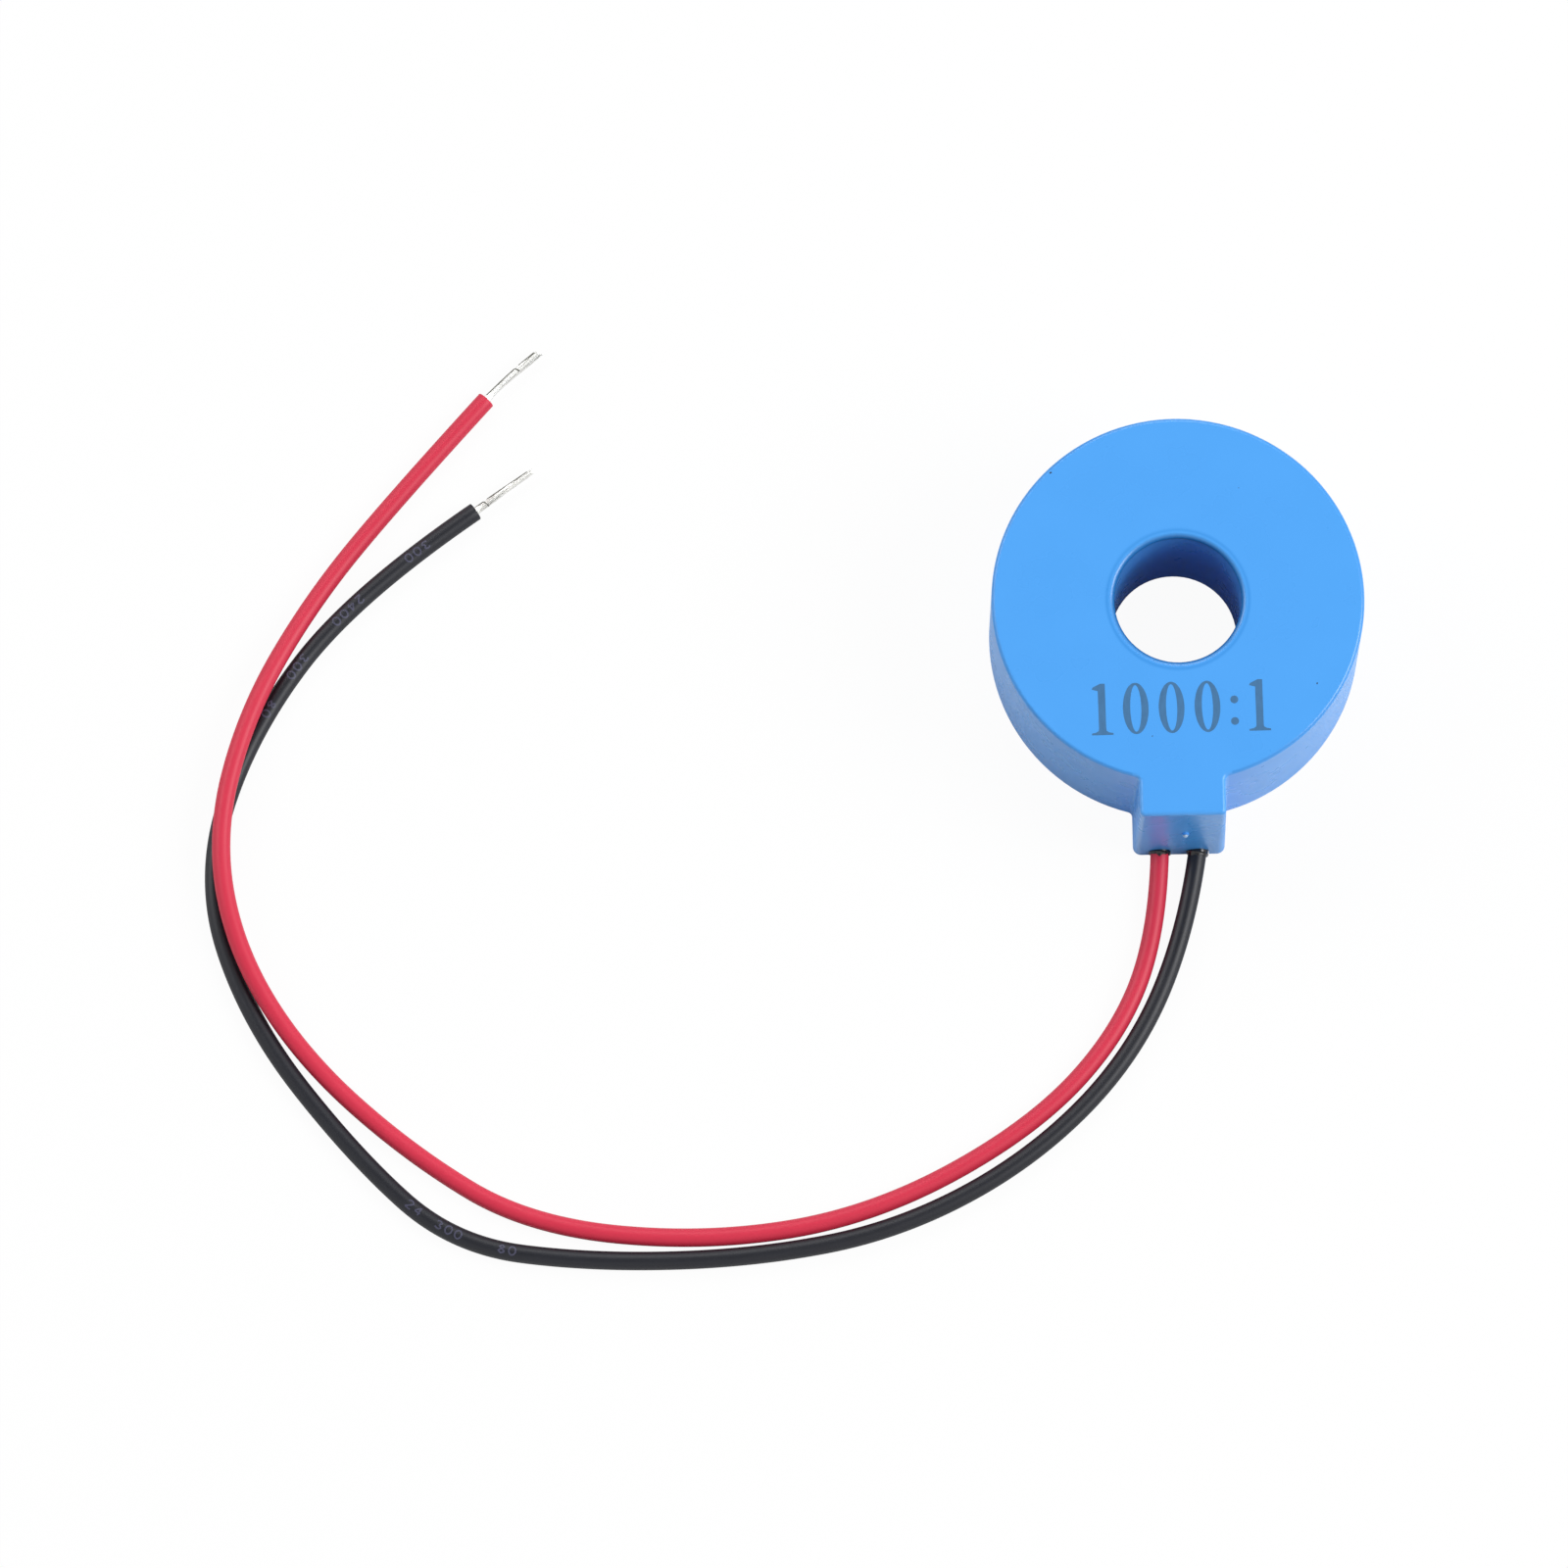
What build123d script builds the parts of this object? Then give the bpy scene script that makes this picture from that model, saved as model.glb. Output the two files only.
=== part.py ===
from build123d import *
from dataclasses import dataclass
from math import cos, pi, radians, sin, tan
import os

# Current transformer: a ring core and its secondary winding, potted in a moulded case, with two
# flying leads. The conductor to be measured passes through the bore.
#
# Frame, in millimetres: the origin is on the bore's axis, in the plane of the rim that the case
# stands on. +Z runs up the bore to the closed face, and the lead tab points to -Y.

os.makedirs("parts", exist_ok=True)

# ---- Case ----
case_radius = 13.5
case_height = 12.5
ring_width = 8.9
bore_radius = case_radius - ring_width
case_wall = 1.0
bore_wall = 1.0
closed_face_wall = 1.2
face_edge_round = 0.3
bore_edge_round = 0.4

# ---- Lead tab of the case: the mould's draft narrows it towards the closed face ----
tab_stand = 2.7
tab_reach = case_radius + tab_stand
tab_width = 6.7
tab_wall = 0.8
tab_draft = 1.1
tab_corner_round = 0.6
tab_root_round = 0.4

# ---- Stub that the mould's gate leaves on the tab's front ----
gate_mark_radius = 0.25
gate_mark_stand = 0.15
gate_mark_side = 0.3
gate_mark_height = 6.7

# ---- Resin that fills the case, and the layers that it leaves round the wound core ----
potting_recess = 0.4
notch_resin_recess = 0.15
resin_beside_core = 0.5
resin_over_core = 0.4
resin_under_core = 1.6

# ---- Wound core, from its outer layer inwards ----
tape_thickness = 0.15
winding_thickness = 0.8
winding_gap_angle = 24.0
core_box_wall = 0.5
core_play = 0.1
lid_lip_height = 0.2
lid_lip_width = 0.4
lid_play = 0.05

# ---- Leads: stranded hook-up wire, which leaves by a notch each in the tab's front wall ----
lead_radius = 0.675
conductor_radius = 0.305
lead_spacing = 2.8
lead_exit_height = 0.95
notch_play = 0.1
lead_lift = 0.025
crossing_play = 0.15
bare_straight = 1.0
bend_share = 0.45

# ---- Splices: past each jacket's inner end, solder bridges the conductor and a winding's end ----
bare_inner_length = 1.6
solder_lap = 1.1
solder_bridge = 0.5
wire_dip = 0.25
solder_play = 0.04
sleeve_wall = 0.1
sleeve_overrun = 0.1
splice_clearance = 0.7

# ---- Ends of the winding, which run straight through holes in the tape ----
winding_wire_radius = 0.08
winding_wire_height = 3.2
tape_hole_play = 0.12

# ---- Routes of the leads, from in front of the tab to the cut ends of their jackets ----
# A point says how far it is to +X and in front of the tab, and how much of the rise over a crossing
# it has: at 0 the lead lies on the surface that the case stands on. The red lead crosses the black.
red_route = [
    (-1.5, 4.6, 0),
    (-4.2, 12.8, 0),
    (-11, 20.2, 0),
    (-22.8, 26.5, 0),
    (-35, 28.3, 0),
    (-47.8, 26.8, 0),
    (-56.4, 21.3, 0),
    (-64.1, 14.1, 0.13),
    (-68.8, 6.3, 0.87),
    (-70.2, -2.3, 1),
    (-67.8, -11.4, 0.87),
    (-63, -19.9, 0.13),
    (-56.8, -27.5, 0),
    (-50.0, -34.9, 0),
]
red_tip = (-45.9, -38.5, 0)
black_route = [
    (0.7, 4.9, 0),
    (-3.4, 14.7, 0),
    (-11, 22.4, 0),
    (-20.9, 27.6, 0),
    (-31.6, 29.5, 0),
    (-43.4, 29.6, 0),
    (-53.3, 28.1, 0),
    (-60.4, 21.4, 0),
    (-67.9, 11.4, 0),
    (-71.2, 0.7, 0),
    (-67.7, -10.2, 0),
    (-59.9, -20.4, 0),
    (-50.9, -26.5, 0),
]
black_tip = (-46.6, -29.5, 0)


@dataclass(frozen=True)
class RingSpace:
    """A ring-shaped space about the bore's axis: its two radii and two heights."""

    inner: float
    outer: float
    bottom: float
    top: float

    def inset(self, layer):
        """The space that a layer on all its walls leaves inside this one."""
        return RingSpace(self.inner + layer, self.outer - layer, self.bottom + layer, self.top - layer)


# ---- Spaces, each inside the one before ----
cavity = RingSpace(bore_radius + bore_wall, case_radius - case_wall, 0, case_height - closed_face_wall)
wound_core = RingSpace(
    cavity.inner + resin_beside_core,
    cavity.outer - resin_beside_core,
    potting_recess + resin_under_core,
    cavity.top - resin_over_core,
)
winding = wound_core.inset(tape_thickness)
core_box = winding.inset(winding_thickness)
core_space = core_box.inset(core_box_wall)

# ---- Places and sizes that several pieces share ----
notch_radius = lead_radius + notch_play
sleeve_bore = lead_radius - sleeve_wall
solder_start = bare_inner_length - solder_lap
solder_end = bare_inner_length + solder_bridge
sleeve_length = solder_end + sleeve_overrun
splice_end_reach = wound_core.outer + splice_clearance
crossing_rise = 2 * lead_radius + crossing_play
half_gap = winding_gap_angle / 2


def finish(piece, node):
    """Label a finished piece with its node's name and write it to its own file."""
    piece.part.label = node
    export_step(piece.part, f"parts/{node}.step")


def ring(space, start=0.0, arc=360.0, mode=Mode.ADD):
    """Revolve a ring space's section about Z, from a start angle and through an arc."""
    with BuildSketch(Plane.XZ.rotated((0, 0, start))) as section:
        with Locations(((space.inner + space.outer) / 2, (space.bottom + space.top) / 2)):
            Rectangle(space.outer - space.inner, space.top - space.bottom)
    revolve(section.sketch, axis=Axis.Z, revolution_arc=arc, mode=mode)


def tab_block(inset, height, mode=Mode.ADD):
    """Extrude the drafted tab up from the rim, set in all round, with its root inside the ring."""
    front = tab_reach - inset
    root = (bore_radius + case_radius) / 2
    with BuildSketch() as outline:
        with Locations((0, -(front + root) / 2)):
            Rectangle(tab_width - 2 * inset, front - root)
        if inset < tab_corner_round:
            fillet(outline.vertices().group_by(Axis.Y)[0], radius=tab_corner_round - inset)
    extrude(outline.sketch, amount=height, taper=tab_draft, mode=mode)


def notch_blocks(front, mode):
    """Extrude both leads' notches, open at the rim, from inside the tab to a front plane."""
    back = tab_reach - 2 * tab_wall
    with BuildSketch(Plane.XZ.offset(back)) as notches:
        with GridLocations(lead_spacing, 0, 2, 1):
            with Locations((0, lead_exit_height)):
                Circle(notch_radius)
            with Locations((0, lead_exit_height / 2)):
                Rectangle(2 * notch_radius, lead_exit_height)
    extrude(notches.sketch, amount=front - back, mode=mode)


# ---- Case shell: one moulding, with the bore's tube standing inside it ----
with BuildPart() as case_shell:
    ring(RingSpace(bore_radius, case_radius, 0, case_height))
    tab_block(0, case_height)
    fillet(case_shell.edges(Select.NEW), radius=tab_root_round)
    closed_face = case_shell.faces().sort_by(Axis.Z)[-1]
    fillet(closed_face.outer_wire().edges(), radius=face_edge_round)
    closed_face = case_shell.faces().sort_by(Axis.Z)[-1]
    fillet(closed_face.inner_wires()[0].edges(), radius=bore_edge_round)
    ring(cavity, mode=Mode.SUBTRACT)
    tab_block(tab_wall, cavity.top, mode=Mode.SUBTRACT)
    notch_blocks(tab_reach + tab_wall, Mode.SUBTRACT)
    front_at_gate = tab_reach - gate_mark_height * tan(radians(tab_draft))
    with BuildSketch(Plane.XZ.offset(front_at_gate - tab_wall / 2)):
        with Locations((gate_mark_side, gate_mark_height)):
            Circle(gate_mark_radius)
    extrude(amount=tab_wall / 2 + gate_mark_stand)
finish(case_shell, "case_shell")

# ---- Core: a ring of tape-wound strip, resting on the floor of its box ----
lid_joint = core_box.top - core_box_wall
lip_bottom = lid_joint - lid_lip_height
with BuildPart() as core_ring:
    ring(
        RingSpace(
            core_space.inner + core_play,
            core_space.outer - core_play,
            core_space.bottom,
            lip_bottom - core_play,
        )
    )
finish(core_ring, "core_ring")

# ---- Core box: a cup with both walls, and a lid on the cup's rims with a lip beside each wall ----
with BuildPart() as core_box_cup:
    ring(RingSpace(core_box.inner, core_box.outer, core_box.bottom, lid_joint))
    ring(core_space, mode=Mode.SUBTRACT)
finish(core_box_cup, "core_box_cup")

with BuildPart() as core_box_lid:
    ring(RingSpace(core_box.inner, core_box.outer, lid_joint, core_box.top))
    lip_inner = core_space.inner + lid_play
    lip_outer = core_space.outer - lid_play
    ring(RingSpace(lip_inner, lip_inner + lid_lip_width, lip_bottom, lid_joint))
    ring(RingSpace(lip_outer - lid_lip_width, lip_outer, lip_bottom, lid_joint))
finish(core_box_lid, "core_box_lid")

# ---- Secondary winding: it stops short of a full turn, on the side that faces the tab ----
with BuildPart() as secondary_winding:
    ring(winding, start=half_gap - 90, arc=360 - winding_gap_angle)
    ring(core_box, mode=Mode.SUBTRACT)
finish(secondary_winding, "secondary_winding")


# ---- Leads, their splices, and the ends of the winding ----
def placed(point):
    """The point of the frame that a route's point stands for."""
    across, forward, rise = point
    return (across, -tab_reach - forward, lead_radius + lead_lift + rise * crossing_rise)


def along(start, towards, distance):
    """The point a distance from the start of a line, on the way to another point."""
    start, towards = Vector(*start), Vector(*towards)
    return tuple(start + (towards - start).normalized() * distance)


def corner_radius(before, corner, after, tangent):
    """Radius of the arc that leaves a corner of a route a tangent length to each side of it."""
    arriving = Vector(*corner) - Vector(*before)
    leaving = Vector(*after) - Vector(*corner)
    return tangent / tan(radians(arriving.get_angle(leaving) / 2))


def route_radii(points):
    """Radii of a route's arcs, each as large as the shorter run beside its corner allows."""
    radii = []
    for before, corner, after in zip(points, points[1:], points[2:]):
        shorter = min((Vector(*corner) - Vector(*before)).length, (Vector(*after) - Vector(*corner)).length)
        radii.append(corner_radius(before, corner, after, bend_share * shorter))
    return radii


def round_bar(start, end, radius, bore=0.0, mode=Mode.ADD):
    """Extrude a round bar, or a tube, from one point to another."""
    axis = Vector(*end) - Vector(*start)
    with BuildSketch(Plane(origin=start, z_dir=axis)) as section:
        Circle(radius)
        if bore:
            Circle(bore, mode=Mode.SUBTRACT)
    extrude(section.sketch, amount=axis.length, mode=mode)


def bent_bar(points, radii, radius):
    """Sweep a round section along straight runs joined by tangent arcs; return the path's length."""
    with BuildLine() as path:
        FilletPolyline(*points, radius=radii)
    with BuildSketch(Plane(origin=points[0], z_dir=Vector(*points[1]) - Vector(*points[0]))) as section:
        Circle(radius)
    centreline = path.wires()[0]
    sweep(section.sketch, path=centreline)
    return centreline.length


def build_winding_end(colour, side, splice_point):
    """Make the wire that runs straight from an end of the winding to its splice."""
    coil_radius = winding.outer - winding_thickness / 2
    coil_point = (
        side * coil_radius * sin(radians(half_gap)),
        -coil_radius * cos(radians(half_gap)),
        winding_wire_height,
    )
    with BuildPart() as winding_end:
        round_bar(along(coil_point, splice_point, -winding_thickness / 2), splice_point, winding_wire_radius)
        add(secondary_winding.part, mode=Mode.SUBTRACT)
    finish(winding_end, f"{colour}_winding_end")
    return coil_point, winding_end.part


@dataclass(frozen=True)
class Lead:
    """What the resin and the tape leave room for round a lead's inner end."""

    start: tuple
    sleeve_end: tuple
    splice_point: tuple
    coil_point: tuple
    winding_end: Part


def build_lead(colour, side, route, tip):
    """Make a lead, its conductor's two bare ends and its splice with an end of the winding."""
    notch = (side * lead_spacing / 2, tab_wall / 2 - tab_reach, lead_exit_height)
    start = along(notch, route[0], splice_end_reach + sleeve_length + notch[1])
    points = [start, *route]
    radii = route_radii(points)
    with BuildPart() as lead:
        length = bent_bar(points, radii, lead_radius)
    finish(lead, f"{colour}_lead")
    print(f"{colour} lead: {length:.2f} long, radii", [round(radius, 1) for radius in radii])
    print(f"  volume {lead.part.volume:.3f}, section by length {pi * lead_radius**2 * length:.3f}")

    straight_end = along(route[-1], route[-2], -bare_straight)
    tip_radius = corner_radius(route[-1], straight_end, tip, bend_share * bare_straight)
    with BuildPart() as bare_end:
        bent_bar([route[-1], straight_end, tip], [tip_radius], conductor_radius)
    finish(bare_end, f"{colour}_bare_end")

    conductor_end = along(start, route[0], -bare_inner_length)
    with BuildPart() as inner_end:
        round_bar(start, conductor_end, conductor_radius)
    finish(inner_end, f"{colour}_inner_end")

    splice_point = along(start, route[0], -bare_inner_length - wire_dip)
    coil_point, winding_end = build_winding_end(colour, side, splice_point)

    solder_points = [along(start, route[0], -distance) for distance in (solder_start, solder_end)]
    with BuildPart() as solder_joint:
        round_bar(*solder_points, sleeve_bore - solder_play)
        add(inner_end.part, mode=Mode.SUBTRACT)
        add(winding_end, mode=Mode.SUBTRACT)
    finish(solder_joint, f"{colour}_solder_joint")

    sleeve_end = along(start, route[0], -sleeve_length)
    with BuildPart() as splice_sleeve:
        round_bar(start, sleeve_end, lead_radius, sleeve_bore)
    finish(splice_sleeve, f"{colour}_splice_sleeve")
    return Lead(start, sleeve_end, splice_point, coil_point, winding_end)


leads = [
    build_lead("red", -1, [placed(point) for point in red_route], placed(red_tip)),
    build_lead("black", 1, [placed(point) for point in black_route], placed(black_tip)),
]

# ---- Tape over the winding, with a hole for each of the winding's ends ----
with BuildPart() as winding_tape:
    ring(wound_core)
    ring(winding, mode=Mode.SUBTRACT)
    for lead in leads:
        hole_radius = winding_wire_radius + tape_hole_play
        round_bar(lead.coil_point, lead.splice_point, hole_radius, mode=Mode.SUBTRACT)
finish(winding_tape, "winding_tape")

# ---- Potting compound: it fills the case and the notches to a little below the rim ----
with BuildPart() as potting_compound:
    ring(cavity)
    tab_block(tab_wall, cavity.top)
    notch_blocks(tab_reach - notch_resin_recess, Mode.ADD)
    split(bisect_by=Plane.XY.offset(potting_recess), keep=Keep.TOP)
    ring(wound_core, mode=Mode.SUBTRACT)
    for lead in leads:
        outside = along(lead.start, lead.sleeve_end, wound_core.outer - tab_reach)
        round_bar(lead.sleeve_end, outside, lead_radius, mode=Mode.SUBTRACT)
        add(lead.winding_end, mode=Mode.SUBTRACT)
finish(potting_compound, "potting_compound")
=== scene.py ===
"""Looks of a potted current transformer with two flying leads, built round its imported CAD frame.

Lengths are metres in the CAD frame: the origin is on the bore's axis, in the plane of the rim that
the case stands on, +Z runs up the bore to the closed face, and the lead tab points to -Y.
"""

import logging
import math
from dataclasses import dataclass, field
from enum import Enum

import bpy
import numpy as np
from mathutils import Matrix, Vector


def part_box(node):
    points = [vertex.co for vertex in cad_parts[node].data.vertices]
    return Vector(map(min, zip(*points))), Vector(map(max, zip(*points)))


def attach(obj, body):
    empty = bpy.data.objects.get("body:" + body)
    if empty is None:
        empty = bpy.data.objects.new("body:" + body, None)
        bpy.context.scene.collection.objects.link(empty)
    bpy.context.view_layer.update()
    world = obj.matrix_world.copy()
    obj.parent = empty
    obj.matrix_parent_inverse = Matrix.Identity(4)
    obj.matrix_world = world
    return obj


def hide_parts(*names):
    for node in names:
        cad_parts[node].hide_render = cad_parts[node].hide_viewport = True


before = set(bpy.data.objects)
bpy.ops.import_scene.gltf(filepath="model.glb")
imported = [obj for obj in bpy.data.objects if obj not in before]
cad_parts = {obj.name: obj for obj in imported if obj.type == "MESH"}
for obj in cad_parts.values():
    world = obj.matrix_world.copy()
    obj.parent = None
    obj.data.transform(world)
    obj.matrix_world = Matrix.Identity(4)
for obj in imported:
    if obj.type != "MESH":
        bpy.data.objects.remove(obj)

Colour = tuple[float, float, float]
Place = tuple[float, float, float]
Triple = tuple[float, float, float]
Pair = tuple[float, float]
Material = bpy.types.Material
Piece = bpy.types.Object
Socket = bpy.types.NodeSocket

MM = 0.001
BODY = "root"
# The least sine or cosine that a slant distance is divided by.
LEAST_SINE = 0.01
# What a lead's seed is raised by for the resin round it.
EXIT_SEED = 20
LOG = logging.getLogger("current_transformer")


# ---- Meshes worked out as whole arrays ----
@dataclass
class Surface:
    """Part of a mesh: its points, its faces of one size, and a texture coordinate for each point."""

    points: np.ndarray
    faces: list[np.ndarray]
    uv: np.ndarray


def merged(surfaces: list[Surface]) -> Surface:
    """Put the points and faces of several surfaces one after the other.

    Args:
        surfaces: the surfaces in order.

    Returns:
        One surface with all of them.
    """
    starts = np.cumsum([0] + [len(surface.points) for surface in surfaces[:-1]])
    return Surface(
        np.concatenate([surface.points for surface in surfaces]),
        [faces + start for surface, start in zip(surfaces, starts) for faces in surface.faces],
        np.concatenate([surface.uv for surface in surfaces]),
    )


def grid_faces(rows: int, columns: int, wrap_rows: bool = False, wrap_columns: bool = False) -> np.ndarray:
    """Number the corners of a grid's quads, row by row.

    Corner (r, c) has the number r x columns + c, and a wrapped side takes its next corner modulo its count.

    Args:
        rows: points along the first parameter.
        columns: points along the second parameter.
        wrap_rows: whether the last row joins the first.
        wrap_columns: whether the last column joins the first.

    Returns:
        An array of four corner numbers for each quad.
    """
    r = np.arange(rows if wrap_rows else rows - 1)[:, None]
    c = np.arange(columns if wrap_columns else columns - 1)[None, :]
    r_next, c_next = (r + 1) % rows, (c + 1) % columns
    corners = [r * columns + c, r * columns + c_next, r_next * columns + c_next, r_next * columns + c]
    return np.stack([corner.ravel() for corner in np.broadcast_arrays(*corners)], axis=1)


def fan_faces(ring: np.ndarray, pole: int, flip: bool = False) -> np.ndarray:
    """Number the triangles that close a ring of points to a pole: neighbour, neighbour, pole.

    Args:
        ring: the ring's point numbers in order.
        pole: the pole's point number.
        flip: whether the triangles turn the other way.

    Returns:
        An array of three corner numbers for each triangle.
    """
    following = np.roll(ring, -1)
    pair = (following, ring) if flip else (ring, following)
    return np.stack([*pair, np.full_like(ring, pole)], axis=1)


def make_piece(name: str, surface: Surface, material: Material, smooth: float = 40.0) -> Piece:
    """Put a surface into a mesh object that rides on the object's body.

    Args:
        name: the piece's name.
        surface: its points, faces and texture coordinates.
        material: its finish.
        smooth: the largest angle in degrees between faces that shade as one.

    Returns:
        The new object.
    """
    mesh = bpy.data.meshes.new(name)
    polygons = [face for faces in surface.faces for face in faces.tolist()]
    mesh.from_pydata(surface.points.tolist(), [], polygons)
    corners = np.empty(len(mesh.loops), dtype=np.int32)
    mesh.loops.foreach_get("vertex_index", corners)
    layer = mesh.uv_layers.new(name="UVMap")
    layer.data.foreach_set("uv", surface.uv[corners].astype(np.float32).ravel())
    mesh.polygons.foreach_set("use_smooth", np.ones(len(mesh.polygons), dtype=bool))
    mesh.set_sharp_from_angle(angle=math.radians(smooth))
    mesh.materials.append(material)
    mesh.update()
    piece = bpy.data.objects.new(name, mesh)
    bpy.context.scene.collection.objects.link(piece)
    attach(piece, BODY)
    LOG.info("%s: %d points, %d faces", name, len(mesh.vertices), len(mesh.polygons))
    return piece


def unit(vectors: np.ndarray) -> np.ndarray:
    """Vectors divided by their lengths, over the last axis."""
    return vectors / np.linalg.norm(vectors, axis=-1, keepdims=True)


def path_axes(path: np.ndarray) -> tuple[np.ndarray, np.ndarray, np.ndarray]:
    """Unit vectors along, beside and above a path that never stands upright.

    Along is the difference of each point's neighbours, beside is along x vertical, and above is
    beside x along.

    Args:
        path: the path's points in order.

    Returns:
        The three arrays of vectors.
    """
    along = unit(np.gradient(path, axis=0))
    beside = unit(np.cross(along, (0.0, 0.0, 1.0)))
    return along, beside, np.cross(beside, along)


def tube(centres: np.ndarray, radii: np.ndarray, axes: tuple[np.ndarray, ...], around: int) -> Surface:
    """A closed round skin about a line of centres.

    P(s, a) = centre(s) + radius(s) x (cos a x beside(s) + sin a x above(s)), with a pole at each end. The
    texture coordinate is the turn a and the length s, both in shares of the widest girth.

    Args:
        centres: the centres in order.
        radii: the radius at each centre.
        axes: vectors along, beside and above at each centre.
        around: points round the girth.

    Returns:
        The tube's surface.
    """
    _, beside, above = axes
    turn = np.linspace(0.0, 2.0 * math.pi, around, endpoint=False)
    ray = np.cos(turn)[None, :, None] * beside[:, None] + np.sin(turn)[None, :, None] * above[:, None]
    skin = (centres[:, None] + radii[:, None, None] * ray).reshape(-1, 3)
    steps = np.linalg.norm(np.diff(centres, axis=0), axis=1)
    length = np.concatenate([[0.0], np.cumsum(steps)]) / (2.0 * math.pi * radii.max())
    uv = np.stack(np.broadcast_arrays(turn[None, :] / (2.0 * math.pi), length[:, None]), axis=-1)
    uv = uv.reshape(-1, 2)
    rows, ring = len(centres), np.arange(around)
    points = np.concatenate([skin, centres[:1], centres[-1:]])
    faces = [
        grid_faces(rows, around, wrap_columns=True),
        fan_faces(ring, rows * around, flip=True),
        fan_faces(ring + (rows - 1) * around, rows * around + 1),
    ]
    return Surface(points, faces, np.concatenate([uv, uv[:1], uv[-1:]]))


# ---- Shader nodes ----
class Tree:
    """Short calls to add and link the nodes of a material, the world or a node group."""

    def __init__(self, nodes: bpy.types.NodeTree) -> None:
        """Keep the node tree, and empty it."""
        self.tree = nodes
        self.tree.nodes.clear()

    def add(self, kind: str, inputs: dict | None = None, **settings: object) -> bpy.types.Node:
        """Add a node.

        Args:
            kind: the node's type, without its ShaderNode prefix where it has one.
            inputs: values or sockets for its inputs, by name or number.
            settings: attributes of the node.

        Returns:
            The node.
        """
        known = kind if kind.startswith("NodeGroup") else "ShaderNode" + kind
        node = self.tree.nodes.new(known)
        for key, value in settings.items():
            setattr(node, key, value)
        for key, value in (inputs or {}).items():
            if isinstance(value, Socket):
                self.tree.links.new(value, node.inputs[key])
            else:
                node.inputs[key].default_value = value
        return node

    def maths(self, operation: str, *values: object) -> Socket:
        """The result of a Math node on the given numbers or sockets."""
        return self.add("Math", dict(enumerate(values)), operation=operation).outputs[0]

    def blend(self, share: object, low: object, high: object) -> Socket:
        """The colour between two colours at a share from 0 to 1."""
        return self.add("Mix", {0: share, 6: low, 7: high}, data_type="RGBA").outputs[2]

    def between(self, value: object, low: float, high: float) -> Socket:
        """A value from 0 to 1 mapped to the range from low to high."""
        return self.add("MapRange", {"Value": value, "To Min": low, "To Max": high}).outputs[0]

    def ramp(self, value: Socket, places: Pair, shares: Pair) -> Socket:
        """A straight ramp between two places, from the first share to the second."""
        return self.add("MapRange", {0: value, **dict(enumerate((*places, *shares), start=1))}).outputs[0]

    def from_axis(self, place: bpy.types.bpy_prop_collection) -> Socket:
        """The distance from the bore's axis: sqrt(x^2 + y^2)."""
        squares = [self.maths("POWER", place[axis], 2.0) for axis in "XY"]
        return self.maths("SQRT", self.maths("ADD", *squares))


def new_material(name: str) -> tuple[Material, Tree]:
    """An empty node material and its tree."""
    material = bpy.data.materials.new(name)
    material.use_nodes = True
    return material, Tree(material.node_tree)


def new_group(
    name: str, inputs: dict[str, float], outputs: tuple[str, ...]
) -> tuple[bpy.types.NodeTree, Tree, dict[str, Socket]]:
    """Start a shader node group with vector input "Vector" and the named float sockets.

    Args:
        name: the group's name.
        inputs: its float inputs and their defaults.
        outputs: its float outputs.

    Returns:
        The group, its tree, and its input sockets by name.
    """
    group = bpy.data.node_groups.new(name, "ShaderNodeTree")
    tree = Tree(group)
    group.interface.new_socket("Vector", in_out="INPUT", socket_type="NodeSocketVector")
    for key, value in inputs.items():
        socket = group.interface.new_socket(key, in_out="INPUT", socket_type="NodeSocketFloat")
        socket.default_value = value
    for key in outputs:
        group.interface.new_socket(key, in_out="OUTPUT", socket_type="NodeSocketFloat")
    entry = tree.add("NodeGroupInput")
    return group, tree, {socket.name: socket for socket in entry.outputs if socket.name}


class Effects:
    """The surface effects that several materials share, each a node group that is made once."""

    def __init__(self) -> None:
        """Make the groups."""
        self.grain = self._grain()
        self.specks = self._specks()

    @staticmethod
    def _grain() -> bpy.types.NodeTree:
        """Fine texture of a moulded or drawn surface: a broad cloud, and a fine grain for its height."""
        group, tree, given = new_group("grain", {"Cloud": 200.0, "Fine": 4000.0}, ("Cloud", "Height"))
        cloud = tree.add("TexNoise", {"Vector": given["Vector"], "Scale": given["Cloud"], "Detail": 3.0})
        fine = tree.add("TexNoise", {"Vector": given["Vector"], "Scale": given["Fine"], "Detail": 2.0})
        tree.add("NodeGroupOutput", {"Cloud": cloud.outputs[0], "Height": fine.outputs[0]})
        return group

    @staticmethod
    def _specks() -> bpy.types.NodeTree:
        """Sparse round specks: the share of cells whose own random number passes, inside a small radius."""
        group, tree, given = new_group("specks", {"Scale": 500.0, "Size": 0.1, "Rarity": 0.97}, ("Mask",))
        cell = tree.add("TexVoronoi", {"Vector": given["Vector"], "Scale": given["Scale"]})
        chosen = tree.add("SeparateColor", {0: cell.outputs["Color"]}).outputs[0]
        inside = tree.maths("LESS_THAN", cell.outputs["Distance"], given["Size"])
        passed = tree.maths("GREATER_THAN", chosen, given["Rarity"])
        tree.add("NodeGroupOutput", {"Mask": tree.maths("MULTIPLY", inside, passed)})
        return group


def rgba(colour: Colour) -> tuple[float, float, float, float]:
    """A linear colour with full alpha."""
    return (*colour, 1.0)


def shaded(colour: Colour, share: float) -> tuple[float, float, float, float]:
    """A colour scaled by a share, with full alpha."""
    return rgba(tuple(channel * share for channel in colour))


class Mapping(Enum):
    """What a finish's pattern follows: the object's own space, or the piece's UV map."""

    OBJECT = "Object"
    UV = "UV"


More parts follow.
